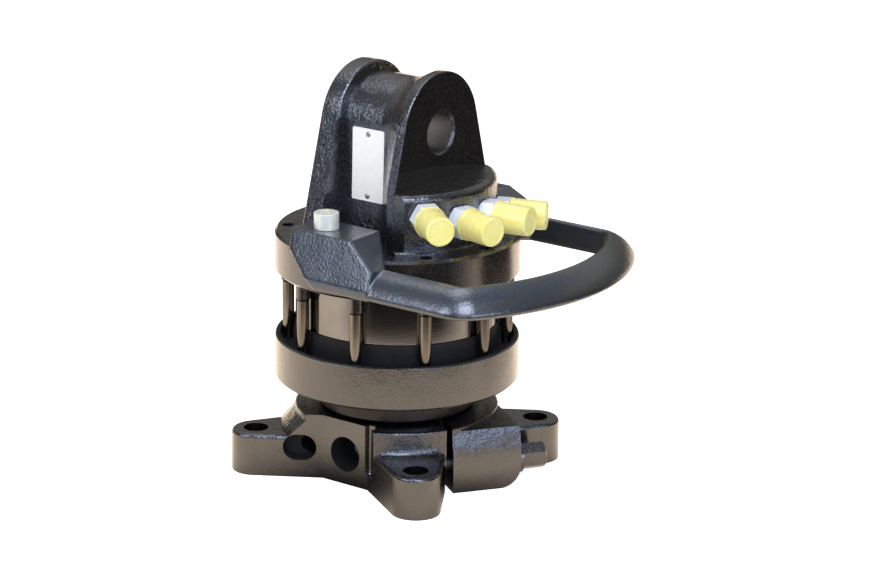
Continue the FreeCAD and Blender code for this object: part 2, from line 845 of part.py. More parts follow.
def round_face_edges(shape, radius, y):
    """Round the outer edges that lie in the plane at y, except the foot line on the disc."""
    def wanted(edge):
        b = edge.BoundBox
        in_plane = abs(b.YMin - y) < 1e-3 and abs(b.YMax - y) < 1e-3
        return in_plane and b.ZMax > disc_top + 2 * radius and b.XLength + b.ZLength > 4 * radius
    return fillet_where(shape, radius, wanted)


def lug():
    inner = half_lug - lobe_thickness
    back = plate_between(back_outline, inner, half_lug)
    back = round_face_edges(back, lobe_edge_round, half_lug)
    front = plate_between(front_outline, -half_lug, -half_lug + front_lobe_thickness)
    front = round_face_edges(front, lobe_edge_round * 0.5, -half_lug)
    web = plate_between(web_outline, web_flat_front, inner + 1)
    sweep = sweep_to_front()
    return fuse_all([back, front, web, sweep])


def sweep_to_front():
    """The web's side swells into the front lobe along a hollow curve."""
    y_end = -half_lug + front_lobe_thickness
    steps = 4
    full = lobe_radius - web_radius
    wires = []
    for i in range(steps + 1):
        share = i / steps
        y = web_flat_front + (y_end - web_flat_front) * share
        rise = 1 - math.cos(share * math.pi / 2)
        taper = web_taper + (lobe_taper - web_taper) * rise
        foot = (web_radius + web_foot_flare) * (1 - rise) + front_lobe_foot * rise
        shoulder = (disc_top + web_foot_height) * (1 - rise) + drum_top * rise
        wires.append(lug_outline(web_radius + full * rise, foot, disc_top - 1, y, taper, shoulder))
    return Part.makeLoft(wires, True, True)


def port_drum():
    drum = cylinder(drum_radius, disc_top - 1, drum_top)
    drum = drum.makeFillet(drum_edge_round, [e for e in drum.Edges if at_height(e, drum_top)])
    keep = box(-front_lobe_foot, front_lobe_foot, -2 * drum_radius,
               -half_lug + front_lobe_thickness, disc_top - 1, drum_top + 1)
    return drum.common(keep)


def head_casting():
    disc = cylinder(body_radius, disc_bottom, disc_top)
    disc = disc.makeChamfer(disc_edge_chamfer, [e for e in disc.Edges if at_height(e, disc_top)
                                                or at_height(e, disc_bottom)])
    pad = cylinder(pad_radius, disc_top - 1, disc_top + pad_height)
    pad = pad.makeChamfer(pad_height / 2, [e for e in pad.Edges
                                           if at_height(e, disc_top + pad_height)])
    pad = pad.common(box(-pad_half_width, pad_half_width, -2 * pad_radius, -half_lug, 0, drum_top))
    bosses = [cylinder_at(screw_boss_d / 2, disc_bottom - screw_boss_height, disc_bottom + 1,
                          polar(screw_circle_radius, a)) for a in screw_angles]
    body = fuse_all([disc, pad, lug(), port_drum()] + bosses)
    tools = [cylinder(nose_radius + running_clearance, disc_bottom - 1, head_bore_top),
             cylinder(nose_radius + bush_wall, disc_bottom - 1, disc_bottom + upper_bush_length)]
    for z in swivel_seal_heights:
        tools.append(ring(nose_radius + swivel_seal_depth, nose_radius - 1,
                          z - swivel_seal_height / 2, z + swivel_seal_height / 2))
    tools.append(ring_seal_groove(stator_top - 1, stator_top + ring_seal_depth))
    tip = disc_bottom - screw_boss_height - 1
    for a in screw_angles:
        tools.append(cylinder_at(screw_shank_d / 2 + running_clearance / 2, tip, disc_top + 5,
                                 polar(screw_circle_radius, a)))
    for x in (-guard_screw_position, guard_screw_position):
        tools.append(cylinder(guard_screw_d / 2 + running_clearance / 2,
                              disc_top - guard_screw_depth - 2, disc_top + 5, x,
                              guard_screw_shift))
    thread = cylinder(port_thread_d / 2 + running_clearance / 2,
                      port_seat - port_thread_length - 4, port_seat + 1)
    for angle, z in ports:
        tools.append(radial(cylinder(spot_face_d / 2, port_seat, 2 * drum_radius), angle, z))
        tools.append(radial(thread, angle, z))
    tools += dowel_holes()
    tools.append(on_web_side(plate_blank(plate_seat_depth, plate_seat_margin)))
    body = cut_all(body, tools)
    return body.cut(pin_bore())


def pin_bore():
    bore = cylinder(bore_d / 2, -half_lug - 1, half_lug + 1)
    flare = cone(bore_d / 2 + bore_chamfer + 1, bore_d / 2, -half_lug - 1, -half_lug + bore_chamfer)
    mouth = bore.fuse(flare).fuse(turned(flare, 180, Vector(1, 0, 0)))
    return moved(turned(mouth, 90, Vector(1, 0, 0)), Vector(0, 0, bore_height))


def shaft_bush_upper():
    return ring(nose_radius + bush_wall, nose_radius + running_clearance, disc_bottom,
                disc_bottom + upper_bush_length)


def swivel_seals():
    return Part.makeCompound([ring(nose_radius + swivel_seal_depth,
                                   nose_radius + running_clearance,
                                   z - swivel_seal_height / 2, z + swivel_seal_height / 2)
                              for z in swivel_seal_heights])


def port_adapters():
    base = port_seat + bonded_seal_thickness
    top = base + adapter_hex_length
    end = top + adapter_stud_length
    corner = adapter_flats / math.sqrt(3)
    stud = cylinder(port_thread_d / 2, port_seat - port_thread_length, base)
    bevel = cone(corner + adapter_hex_length - 1, corner - 1, base, top)
    nut = hexagon(adapter_flats, base, top).common(bevel)
    tip = cylinder(adapter_stud_d / 2, top, end)
    through = cylinder(adapter_bore_d / 2, port_seat - port_thread_length - 1, end + 1)
    adapter = fuse_all([stud, nut, tip]).cut(through)
    return Part.makeCompound([radial(adapter, angle, z) for angle, z in ports])


def adapter_seals():
    washer = ring(bonded_seal_d / 2, port_thread_d / 2 + running_clearance, port_seat,
                  port_seat + bonded_seal_thickness)
    return Part.makeCompound([radial(washer, angle, z) for angle, z in ports])


def port_caps():
    base = port_seat + bonded_seal_thickness + adapter_hex_length + cap_wall_gap
    end = base + cap_length
    lip = cylinder(cap_base_d / 2, base, base + cap_lip)
    shell = cone(cap_base_d / 2 - 0.6, cap_end_d / 2, base + cap_lip, end)
    shell = shell.makeChamfer(cap_edge_chamfer, [e for e in shell.Edges if at_height(e, end)])
    cavity = cylinder(adapter_stud_d / 2 + cap_wall_gap, base - 1, base + cap_cavity_depth)
    cap = lip.fuse(shell).cut(cavity)
    return Part.makeCompound([radial(cap, angle, z) for angle, z in ports])


def guard_path():
    """Plan line of the guard's inner wall: straight sides, tight corners and a shallow front arc."""
    half = guard_inner_half_width
    big = guard_front_radius
    small = guard_corner_radius
    centre_y = -guard_inner_reach + big
    cx = half - small
    reach = math.sqrt((big - small) ** 2 - cx ** 2)
    cy = centre_y - reach
    out = Vector(cx, cy - centre_y, 0).normalize()
    side_end = Vector(half, cy, guard_bottom)
    touch = Vector(cx + small * out.x, cy + small * out.y, guard_bottom)
    mid_dir = (out + Vector(1, 0, 0)).normalize()
    middle = Vector(cx + small * mid_dir.x, cy + small * mid_dir.y, guard_bottom)
    front = Vector(0, -guard_inner_reach, guard_bottom)

    def flip(p):
        return Vector(-p.x, p.y, p.z)
    start = Vector(half, -guard_start, guard_bottom)
    edges = [Part.makeLine(start, side_end),
             Part.Arc(side_end, middle, touch).toShape(),
             Part.Arc(touch, front, flip(touch)).toShape(),
             Part.Arc(flip(touch), flip(middle), flip(side_end)).toShape(),
             Part.makeLine(flip(side_end), flip(start))]
    return Part.Wire(edges)


def guard_section():
    """Section of the hoop at its start: an upright inner wall, a crest and a rounded outer slope."""
    x0 = guard_inner_half_width
    x1 = x0 + guard_width
    z0, z1 = guard_bottom, guard_crest
    y = -guard_start
    height = z1 - z0
    crest = Vector(x0 + 3, y, z1)
    shoulder = Vector(x0 + guard_width * 0.72, y, z0 + height * 0.62)
    nose = Vector(x1, y, z0 + height * 0.2)
    foot = Vector(x1 - 4, y, z0)
    belly = Vector(x1 - 1.0, y, z0 + height * 0.05)
    lower = Vector(x0, y, z0)
    inner = Vector(x0, y, z1 - 3)
    crown = Vector(x0 + 0.9, y, z1 - 0.9)
    edges = [Part.makeLine(lower, inner),
             Part.Arc(inner, crown, crest).toShape(),
             Part.Arc(crest, shoulder, nose).toShape(),
             Part.Arc(nose, belly, foot).toShape(),
             Part.makeLine(foot, lower)]
    return Part.Wire(edges)


def bracket():
    """Left foot of the guard: sits on the disc, reaches over its rim and meets the hoop."""
    outer = guard_inner_half_width + guard_width
    shoulder = guard_bottom + 8
    section = [Vector(-bracket_inner, 0, guard_bottom), Vector(-bracket_inner, 0, bracket_top),
               Vector(-bracket_outer, 0, bracket_top), Vector(-outer, 0, shoulder),
               Vector(-outer, 0, guard_bottom)]
    span = bracket_back + bracket_slope_end
    across = Part.Face(Part.makePolygon(section + section[:1])).extrude(Vector(0, 2 * span, 0))
    across.translate(Vector(0, -1.5 * span, 0))
    side = [Vector(0, bracket_back, bracket_top), Vector(0, -bracket_front, bracket_top),
            Vector(0, -bracket_slope_end, guard_crest),
            Vector(0, -bracket_slope_end, guard_bottom), Vector(0, bracket_foot_back, guard_bottom),
            Vector(0, bracket_back - 3, disc_top + 4)]
    along = Part.Face(Part.makePolygon(side + side[:1])).extrude(Vector(-outer - 1, 0, 0))
    plan = [Vector(-bracket_inner, bracket_back + 1, 0), Vector(-bracket_inner, -bracket_front, 0),
            Vector(-guard_inner_half_width, -bracket_slope_end, 0),
            Vector(-outer - 1, -bracket_slope_end, 0), Vector(-outer - 1, bracket_back + 1, 0)]
    footprint = Part.Face(Part.makePolygon(plan + plan[:1])).extrude(UP * (bracket_top + 1))
    return across.common(along).common(footprint)


def hose_guard():
    hoop = guard_path().makePipeShell([guard_section()], True, False)
    left = bracket()
    right = left.mirror(Vector(0, 0, 0), Vector(1, 0, 0))
    guard = fuse_all([Part.Solid(hoop), left, right])
    rim = cylinder(body_radius + guard_disc_gap, disc_bottom, disc_top)
    tools = [rim]
    for x in (-guard_screw_position, guard_screw_position):
        tools.append(cylinder(guard_screw_d / 2 + screw_clearance, disc_top - 1, bracket_top + 1,
                              x, guard_screw_shift))
    return cut_all(guard, tools)


def guard_screws():
    screws = []
    for x in (-guard_screw_position, guard_screw_position):
        head = cylinder(guard_screw_head_d / 2, bracket_top, bracket_top + guard_screw_head_height)
        top = bracket_top + guard_screw_head_height
        head = head.makeChamfer(guard_screw_head_chamfer, [e for e in head.Edges
                                                           if at_height(e, top)])
        socket = hexagon(guard_screw_socket_flats, top - guard_screw_socket_depth, top + 1)
        shank = cylinder(guard_screw_d / 2, disc_top - guard_screw_depth, bracket_top + 1)
        screws.append(moved(head.fuse(shank).cut(socket), Vector(x, guard_screw_shift, 0)))
    return Part.makeCompound(screws)


def on_web_side(shape):
    """Stand a shape built on the plane x = 0 against the web's left side, behind its lean."""
    t = math.radians(web_taper)
    middle = plate_bottom + plate_length / 2
    face = web_radius * math.cos(t) + (bore_height + web_radius * math.sin(t) - middle) * math.tan(t)
    leaned = turned(shape, web_taper, Vector(0, 1, 0))
    return moved(leaned, Vector(-face, plate_centre_y, middle))


def plate_blank(thickness, margin=0.0):
    half_y = plate_width / 2 + margin
    half_z = plate_length / 2 + margin
    return box(-thickness, 0, -half_y, half_y, -half_z, half_z)


def id_plate():
    plate = plate_blank(plate_thickness)
    corners = [e for e in plate.Edges if e.BoundBox.XLength > plate_thickness / 2]
    return on_web_side(plate.makeFillet(plate_corner_radius, corners))


def plate_rivets():
    top = plate_length / 2 - rivet_inset
    stem = radial(cylinder(rivet_d / 2, plate_thickness, plate_thickness + rivet_height), 180, 0)
    return Part.makeCompound([on_web_side(moved(stem, Vector(0, 0, z))) for z in (-top, top)])


parts = {
    "clamp_flange": clamp_flange,
    "clamp_screw": clamp_screw,
    "rotor_shaft": rotor_shaft,
    "gallery_plugs": gallery_plugs,
    "vane_rotor": vane_rotor,
    "rotor_keys": rotor_keys,
    "vanes": vanes,
    "shaft_nut": shaft_nut,
    "bearing_race_upper": bearing_race_upper,
    "bearing_race_lower": bearing_race_lower,
    "bearing_rollers": bearing_rollers,
    "bearing_cage": bearing_cage,
    "lower_housing": lower_housing,
    "stator_ring": stator_ring,
    "stator_dowels": stator_dowels,
    "stator_seals": stator_seals,
    "housing_screws": housing_screws,
    "shaft_bush_lower": shaft_bush_lower,
    "shaft_bush_upper": shaft_bush_upper,
    "shaft_seal": shaft_seal,
    "swivel_seals": swivel_seals,
    "head_casting": head_casting,
    "port_adapters": port_adapters,
    "adapter_seals": adapter_seals,
    "port_caps": port_caps,
    "hose_guard": hose_guard,
    "guard_screws": guard_screws,
    "id_plate": id_plate,
    "plate_rivets": plate_rivets,
}

os.makedirs("parts", exist_ok=True)
for name, make in parts.items():
    shape = make()
    shape.exportStep("parts/" + name + ".step")
    solids = shape.Solids
    print(name, "solids", len(solids), "valid", shape.isValid(),
          "volume", round(sum(s.Volume for s in solids)))
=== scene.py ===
import json
import math

import bpy
from mathutils import Matrix, Vector


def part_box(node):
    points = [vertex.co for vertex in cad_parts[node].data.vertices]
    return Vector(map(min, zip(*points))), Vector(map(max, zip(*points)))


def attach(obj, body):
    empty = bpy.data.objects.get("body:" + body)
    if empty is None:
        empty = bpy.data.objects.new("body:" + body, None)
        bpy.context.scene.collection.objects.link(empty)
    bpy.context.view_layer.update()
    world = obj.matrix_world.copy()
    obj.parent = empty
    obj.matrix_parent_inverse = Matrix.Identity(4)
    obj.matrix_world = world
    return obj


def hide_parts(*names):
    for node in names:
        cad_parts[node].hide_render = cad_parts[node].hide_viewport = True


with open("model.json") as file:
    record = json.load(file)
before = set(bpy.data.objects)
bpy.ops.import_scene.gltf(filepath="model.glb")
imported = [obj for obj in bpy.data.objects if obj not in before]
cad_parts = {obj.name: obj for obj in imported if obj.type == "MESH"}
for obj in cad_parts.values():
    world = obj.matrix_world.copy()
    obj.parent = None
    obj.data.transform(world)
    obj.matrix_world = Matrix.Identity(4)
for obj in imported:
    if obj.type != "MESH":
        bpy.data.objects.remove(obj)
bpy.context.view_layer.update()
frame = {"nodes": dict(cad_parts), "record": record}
nodes = frame["nodes"]
bodyNodes = frame["record"]["behaviour"]["bodies"]
bodyOf = {node: body for body, names in bodyNodes.items() for node in names}
mm = 0.001  # sizes below are in mm and angles in degrees, unless a note says otherwise


# small helpers: colour, shader nodes, selection and mesh work

meshFacts = {"mergeWithin": 0.002, "flatWithin": 0.4, "roundFrom": 35, "sharpFrom": 28,
             "smallSharpFrom": 30, "sharpWeight": 80, "drillDepth": 80.0}


def linearColour(hexText):
    # an sRGB hex value, as the linear colour that the nodes work in
    values = [int(hexText[i:i + 2], 16) / 255 for i in (1, 3, 5)]
    linear = [v / 12.92 if v <= 0.04045 else ((v + 0.055) / 1.055) ** 2.4 for v in values]
    return (*linear, 1.0)


def addNode(tree, kind, settings=None, links=None):
    # a setting is a socket, a value of the node's own, or the stops of its colour ramp
    node = tree.nodes.new(kind)
    for key, value in (settings or {}).items():
        if key == "stops":
            points = node.color_ramp.elements
            while len(points) < len(value):
                points.new(0.5)
            for point, (place, colour) in zip(points, value):
                point.position = place
                point.color = linearColour(colour)
        elif isinstance(key, int) or key in node.inputs:
            node.inputs[key].default_value = value
        else:
            setattr(node, key, value)
    for key, source in (links or {}).items():
        tree.links.new(source, node.inputs[key])
    return node


def newMaterial(name):
    material = bpy.data.materials.new(name)
    material.use_nodes = True
    tree = material.node_tree
    tree.nodes.clear()
    return material, tree, addNode(tree, "ShaderNodeTexCoord").outputs["Object"]


def between(value, span):
    return span[0] < value < span[1]


def objectMode():
    if bpy.context.object and bpy.context.object.mode != "OBJECT":
        bpy.ops.object.mode_set(mode="OBJECT")


def selectOnly(piece):
    objectMode()
    bpy.ops.object.select_all(action="DESELECT")
    piece.select_set(True)
    bpy.context.view_layer.objects.active = piece


def editMode(piece, kind="VERT", action="SELECT"):
    # edit mode with everything selected, with nothing, or for None with what was picked
    selectOnly(piece)
    bpy.ops.object.mode_set(mode="EDIT")
    bpy.ops.mesh.select_mode(type=kind)
    if action:
        bpy.ops.mesh.select_all(action=action)


def newPrimitive(operator, name, **settings):
    objectMode()
    bpy.ops.object.select_all(action="DESELECT")
    operator(**settings)
    piece = bpy.context.object
    piece.name = name
    bpy.ops.object.transform_apply(location=True, rotation=True, scale=True)
    return piece


def pickEdges(piece, wanted):
    # leaves the piece in edit mode with the wanted edges selected, each judged by its two ends
    editMode(piece, "EDGE", "DESELECT")
    objectMode()
    for edge in piece.data.edges:
        edge.select = wanted(*[piece.data.vertices[v].co / mm for v in edge.vertices])
    editMode(piece, "EDGE", None)


def pickFaces(piece, wanted):
    # leaves the piece in edit mode with the wanted faces selected, each judged by its middle
    editMode(piece, "FACE", "DESELECT")
    objectMode()
    for face in piece.data.polygons:
        face.select = wanted(face.center / mm, face.normal)
    editMode(piece, "FACE", None)


def coatFaces(piece, *coats):
    # gives the faces that pass a test the material in a slot, the last test winning
    for slot, wanted in coats:
        pickFaces(piece, wanted)
        piece.active_material_index = slot
        bpy.ops.object.material_slot_assign()
        objectMode()


def addModifier(piece, kind, **settings):
    modifier = piece.modifiers.new(kind.lower(), kind)
    for key, value in settings.items():
        setattr(modifier, key, value)
    selectOnly(piece)
    bpy.ops.object.modifier_apply(modifier=modifier.name)


def combine(piece, tool, operation):
    addModifier(piece, "BOOLEAN", object=tool, operation=operation, solver="EXACT")
    bpy.data.objects.remove(tool)


def smooth(piece, angle=meshFacts["sharpFrom"]):
    selectOnly(piece)
    bpy.ops.object.shade_smooth_by_angle(angle=math.radians(angle))
    addModifier(piece, "WEIGHTED_NORMAL", keep_sharp=True, weight=meshFacts["sharpWeight"])


def softenEdges(piece, width):
    # a narrow round along the sharp edges, so that they catch the light
    editMode(piece)
    bpy.ops.mesh.dissolve_limited(angle_limit=math.radians(meshFacts["flatWithin"]))
    objectMode()
    addModifier(piece, "BEVEL", width=width * mm, segments=2, limit_method="ANGLE",
                angle_limit=math.radians(meshFacts["roundFrom"]), use_clamp_overlap=True,
                miter_outer="MITER_ARC")


def standFor(piece, node, *materials):
    piece.data.materials.clear()
    for material in materials:
        piece.data.materials.append(material)
    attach(piece, bodyOf[node])
    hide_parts(node)


def mergedCopy(node, name):
    piece = bpy.data.objects.new(name, nodes[node].data.copy())
    bpy.context.scene.collection.objects.link(piece)
    editMode(piece)
    bpy.ops.mesh.remove_doubles(threshold=meshFacts["mergeWithin"] * mm)
    objectMode()
    return piece


def copyTo(piece, name, matrix):
    copy = piece.copy()
    copy.data = piece.data.copy()
    copy.name = name
    copy.data.transform(matrix)
    bpy.context.scene.collection.objects.link(copy)
    return copy


def repeatAs(first, name, matrices):
    # copies of one piece at each place, joined under one name, and the first taken away
    copies = [copyTo(first, name + str(i), matrix) for i, matrix in enumerate(matrices)]
    bpy.data.objects.remove(first)
    selectOnly(copies[0])
    for piece in copies:
        piece.select_set(True)
    bpy.ops.object.join()
    copies[0].name = name
    return copies[0]


def turnOnLathe(name, profile, sides=64):
    # rings of the profile, radius and height, from one closed end to the other
    radius, height = profile[0]
    piece = newPrimitive(bpy.ops.mesh.primitive_circle_add, name, vertices=sides,
                         radius=radius * mm, location=(0, 0, height * mm))
    editMode(piece, "EDGE")
    for nextRadius, nextHeight in profile[1:]:
        bpy.ops.mesh.extrude_edges_move(
            TRANSFORM_OT_translate={"value": (0, 0, (nextHeight - height) * mm)})
        grow = nextRadius / radius
        bpy.ops.transform.resize(value=(grow, grow, 1), center_override=(0, 0, nextHeight * mm))
        radius, height = nextRadius, nextHeight
    bpy.ops.mesh.edge_face_add()
    bpy.ops.mesh.select_all(action="DESELECT")
    bpy.ops.mesh.select_non_manifold()
    bpy.ops.mesh.edge_face_add()
    bpy.ops.mesh.select_all(action="SELECT")
    bpy.ops.mesh.normals_make_consistent(inside=False)
    objectMode()
    return piece


def hexagonBar(name, flats, low, high):
    return newPrimitive(bpy.ops.mesh.primitive_cylinder_add, name, vertices=6,
                        radius=flats / math.sqrt(3) * mm, depth=(high - low) * mm,
                        location=(0, 0, (low + high) / 2 * mm))


def drillThrough(piece, radius, sides):
    drill = newPrimitive(bpy.ops.mesh.primitive_cylinder_add, "drill", vertices=sides,
                         radius=radius * mm, depth=meshFacts["drillDepth"] * mm)
    combine(piece, drill, "DIFFERENCE")


def placeAlong(angle, distance, height):
    # stands a piece that was built along +Z on the radial line at an angle
    turn = math.radians(angle)
    outward = Vector((math.cos(turn), math.sin(turn), 0))
    place = outward * distance * mm + Vector((0, 0, height * mm))
    return (Matrix.Translation(place) @ Matrix.Rotation(turn, 4, "Z")
            @ Matrix.Rotation(math.pi / 2, 4, "Y"))


# materials: a pattern's scale is cells per metre, so 1000 over its width in mm

middleNoise = (0.35, 0.65)  # the span of a noise in which a colour changes
wideNoise = (0.3, 0.7)


def blackEnamelOnIron(name, facts):
    # black machine enamel, sprayed on iron: a thin glossy film that mirrors the room, over
    # the turned or sand-cast skin of the iron, which breaks its highlights up. The grit is
    # really under 1 mm, too fine to show, so it is drawn about 2 mm wide
    material, tree, place = newMaterial(name)
    patches = addNode(tree, "ShaderNodeTexNoise",
                      {"Scale": 1000 / facts["patchMm"], "Detail": 3.0}, {"Vector": place})
    colour = addNode(tree, "ShaderNodeValToRGB",
                     {"stops": list(zip(middleNoise, facts["colours"]))},
                     {0: patches.outputs["Fac"]})
    grit = addNode(tree, "ShaderNodeTexNoise",
                   {"Scale": 1000 / facts["gritMm"], "Detail": 3.0, "Roughness": 0.55},
                   {"Vector": place})
    rough = addNode(tree, "ShaderNodeMapRange",
                    {"From Min": wideNoise[0], "From Max": wideNoise[1],
                     "To Min": facts["roughness"][0], "To Max": facts["roughness"][1]},
                    {"Value": grit.outputs["Fac"]})
    wave = addNode(tree, "ShaderNodeTexNoise", {"Scale": 1000 / facts["waveMm"], "Detail": 1.0},
                   {"Vector": place})
    gritBump = addNode(tree, "ShaderNodeBump", {"Distance": facts["gritHeightMm"] * mm},
                       {"Height": grit.outputs["Fac"]})
    bump = addNode(tree, "ShaderNodeBump", {"Distance": facts["waveHeightMm"] * mm},
                   {"Height": wave.outputs["Fac"], "Normal": gritBump.outputs[0]})
    shader = addNode(tree, "ShaderNodeBsdfPrincipled",
                     {"IOR": facts["ior"], "Coat Weight": 1.0, "Coat IOR": facts["coatIor"],
                      "Coat Roughness": facts["coatRoughness"]},
                     {"Base Color": colour.outputs[0], "Roughness": rough.outputs[0],
                      "Normal": bump.outputs[0], "Coat Normal": bump.outputs[0]})
    addNode(tree, "ShaderNodeOutputMaterial", links={"Surface": shader.outputs[0]})
    return material


def turnedSteel(name, colours, roughness, lineMm=0.6, lineDepthMm=0.02, toneMm=33.3,
                squeeze=0.03):
    # bare steel off the lathe or the grinder: rings round the axis draw its reflections out.
    # The real lines lie about 0.1 mm apart, too fine to show, so they are drawn wider
    material, tree, place = newMaterial(name)
    level = addNode(tree, "ShaderNodeMapping", {"Scale": (squeeze, squeeze, 1.0)},
                    {"Vector": place})
    rings = addNode(tree, "ShaderNodeTexNoise", {"Scale": 1000 / lineMm, "Detail": 3.0},
                    {"Vector": level.outputs[0]})
    tone = addNode(tree, "ShaderNodeTexNoise", {"Scale": 1000 / toneMm, "Detail": 2.0},
                   {"Vector": place})
    colour = addNode(tree, "ShaderNodeValToRGB", {"stops": list(zip(middleNoise, colours))},
                     {0: tone.outputs["Fac"]})
    rough = addNode(tree, "ShaderNodeMapRange", {"To Min": roughness[0], "To Max": roughness[1]},
                    {"Value": rings.outputs["Fac"]})
    bump = addNode(tree, "ShaderNodeBump", {"Distance": lineDepthMm * mm, "Strength": 0.6},
                   {"Height": rings.outputs["Fac"]})
    shader = addNode(tree, "ShaderNodeBsdfPrincipled", {"Metallic": 1.0},
                     {"Base Color": colour.outputs[0], "Roughness": rough.outputs[0],
                      "Normal": bump.outputs[0]})
    addNode(tree, "ShaderNodeOutputMaterial", links={"Surface": shader.outputs[0]})
    return material


def plainFinish(name, colours, metallic=0.0, roughness=(0.3, 0.4), grainMm=1.5, heightMm=0.01,
                noise=middleNoise, others=None):
    # a finish with one grain, which carries its colour, its gloss and its bump. Machining
    # marks and rubber's grain are finer than shows, so no grain is drawn under 1.5 mm wide
    material, tree, place = newMaterial(name)
    grain = addNode(tree, "ShaderNodeTexNoise", {"Scale": 1000 / grainMm, "Detail": 2.0},
                    {"Vector": place})
    colour = addNode(tree, "ShaderNodeValToRGB", {"stops": list(zip(noise, colours))},
                     {0: grain.outputs["Fac"]})
    rough = addNode(tree, "ShaderNodeMapRange", {"To Min": roughness[0], "To Max": roughness[1]},
                    {"Value": grain.outputs["Fac"]})
    bump = addNode(tree, "ShaderNodeBump", {"Distance": heightMm * mm},
                   {"Height": grain.outputs["Fac"]})
    shader = addNode(tree, "ShaderNodeBsdfPrincipled", {"Metallic": metallic, **(others or {})},
                     {"Base Color": colour.outputs[0], "Roughness": rough.outputs[0],
                      "Normal": bump.outputs[0]})
    addNode(tree, "ShaderNodeOutputMaterial", links={"Surface": shader.outputs[0]})
    return material


enamelFacts = {"colours": ("#0d0c0c", "#171615"), "patchMm": 40, "ior": 1.6, "coatIor": 1.75,
               "roughness": (0.14, 0.34), "coatRoughness": 0.1, "gritMm": 2.0,
               "gritHeightMm": 0.11, "waveMm": 16, "waveHeightMm": 0.2}

# on turned iron: nearly smooth, so the room's reflection stays one soft band
turnedEnamel = blackEnamelOnIron("blackEnamelOnTurnedIron", enamelFacts)

# on sand-cast iron: the gritty skin breaks the gloss into small wet sparkles
castEnamel = blackEnamelOnIron("blackEnamelOnSandCasting", {
    **enamelFacts, "gritMm": 2.2, "gritHeightMm": 0.5, "waveMm": 11, "waveHeightMm": 0.7,
    "roughness": (0.18, 0.4), "coatRoughness": 0.08})

# on the coarsest skin of a casting: deep dimples, a duller and more broken sheen
coarseEnamel = blackEnamelOnIron("blackEnamelOnCoarseCasting", {
    **enamelFacts, "gritMm": 2.6, "gritHeightMm": 0.9, "waveMm": 7, "waveHeightMm": 0.9,
    "roughness": (0.25, 0.5), "coatRoughness": 0.13})

# on milled iron: flat and very dark, with hardly any grit
milledEnamel = blackEnamelOnIron("blackEnamelOnMilledIron", {
    **enamelFacts, "gritHeightMm": 0.03, "waveHeightMm": 0.15})

# on a shot-blasted casting: an even, pebbled skin with a soft sheen, and an olive and blue mottle
# in its colour that is a painted reflection of the floor and the sky
blastedEnamelPaintedReflection = blackEnamelOnIron("blastedEnamelWithPaintedReflection", {
    **enamelFacts, "colours": ("#252722", "#1a242f"), "patchMm": 14, "gritMm": 2.4,
    "gritHeightMm": 0.28, "waveMm": 20, "waveHeightMm": 0.3, "roughness": (0.28, 0.5),
    "coatRoughness": 0.2})

# ground steel: light, with long clear reflections round the ring
statorSteel = turnedSteel("groundSteel", ("#8f8f90", "#828283"), (0.07, 0.12))
# freshly bored steel: bright satin
boreSteel = turnedSteel("boredSteel", ("#d2d2d2", "#bebebe"), (0.2, 0.3))
# turned steel with an oil film: warm grey, a long highlight down each shank
screwSteel = turnedSteel("oiledScrewSteel", ("#8a857e", "#78736d"), (0.16, 0.26))
# the same steel made dark grey with a dimmer highlight: painted shade on the upper shanks, under
# the disc
screwSteelPaintedShade = turnedSteel("screwSteelUnderDiscShade", ("#34363c", "#26272b"), (0.2, 0.3))
# turned steel inside the unit: plain grey satin
shaftSteel = turnedSteel("turnedShaftSteel", ("#a5a39e", "#96948f"), (0.22, 0.34))

# nearly black and matt, with no highlight: painted shade inside the flange's window and port and in
# the housing's trough
hollowPaintedShade = plainFinish("nearBlackPaintedShade", ("#0c0b0a", "#161412"), roughness=(0.6, 0.8),
                         grainMm=3.0, heightMm=0.15)
# dark brown with a weak broad sheen: painted shade on the neck and underside, under the housing's
# overhang
neckPaintedShade = plainFinish("neckUnderHousingShade", ("#1b1816", "#131110"), roughness=(0.3, 0.45),
                       grainMm=2.0, heightMm=0.05)
# zinc plating, still bright: whitish and softly cloudy, with a weak metal sheen
zincPlate = plainFinish("brightZincPlate", ("#fafbfa", "#eef3f4"), metallic=0.22,
                        roughness=(0.24, 0.32), grainMm=5.0, heightMm=0.015)
# zinc plating that has aged: the same with a yellow cast
agedZinc = plainFinish("agedZincPlate", ("#f1efdd", "#e6e5d6"), metallic=0.35,
                       roughness=(0.26, 0.36), grainMm=5.0, heightMm=0.015)
# polyethylene off the mould: pale yellow and waxy, and light goes a little way into it
capPlastic = plainFinish("mouldedPolyethylene", ("#f1e796", "#efdf7e"), roughness=(0.22, 0.34),
                         grainMm=11.1, heightMm=0.12, noise=wideNoise,
                         others={"IOR": 1.51, "Subsurface Weight": 0.6,
                                 "Subsurface Radius": (0.008, 0.006, 0.0015)})
# white coating on thin sheet: warm white, a faint even sheen
plateCoat = plainFinish("whiteCoatedSheet", ("#f4eddd", "#f0e9d9"), roughness=(0.35, 0.45),
                        grainMm=6.0, heightMm=0.02)
# steel rivets, tumbled: grey satin
rivetSteel = plainFinish("satinRivetSteel", ("#b8b8b8", "#a2a2a2"), metallic=1.0)
# nitrile rubber off the mould: matt black
sealRubber = plainFinish("mouldedNitrileRubber", ("#1c1c1d", "#151516"), roughness=(0.55, 0.7))
# bronze, machined: brown-yellow satin
bushBronze = plainFinish("machinedBronze", ("#a9824e", "#997343"), metallic=1.0)
print("materials made")

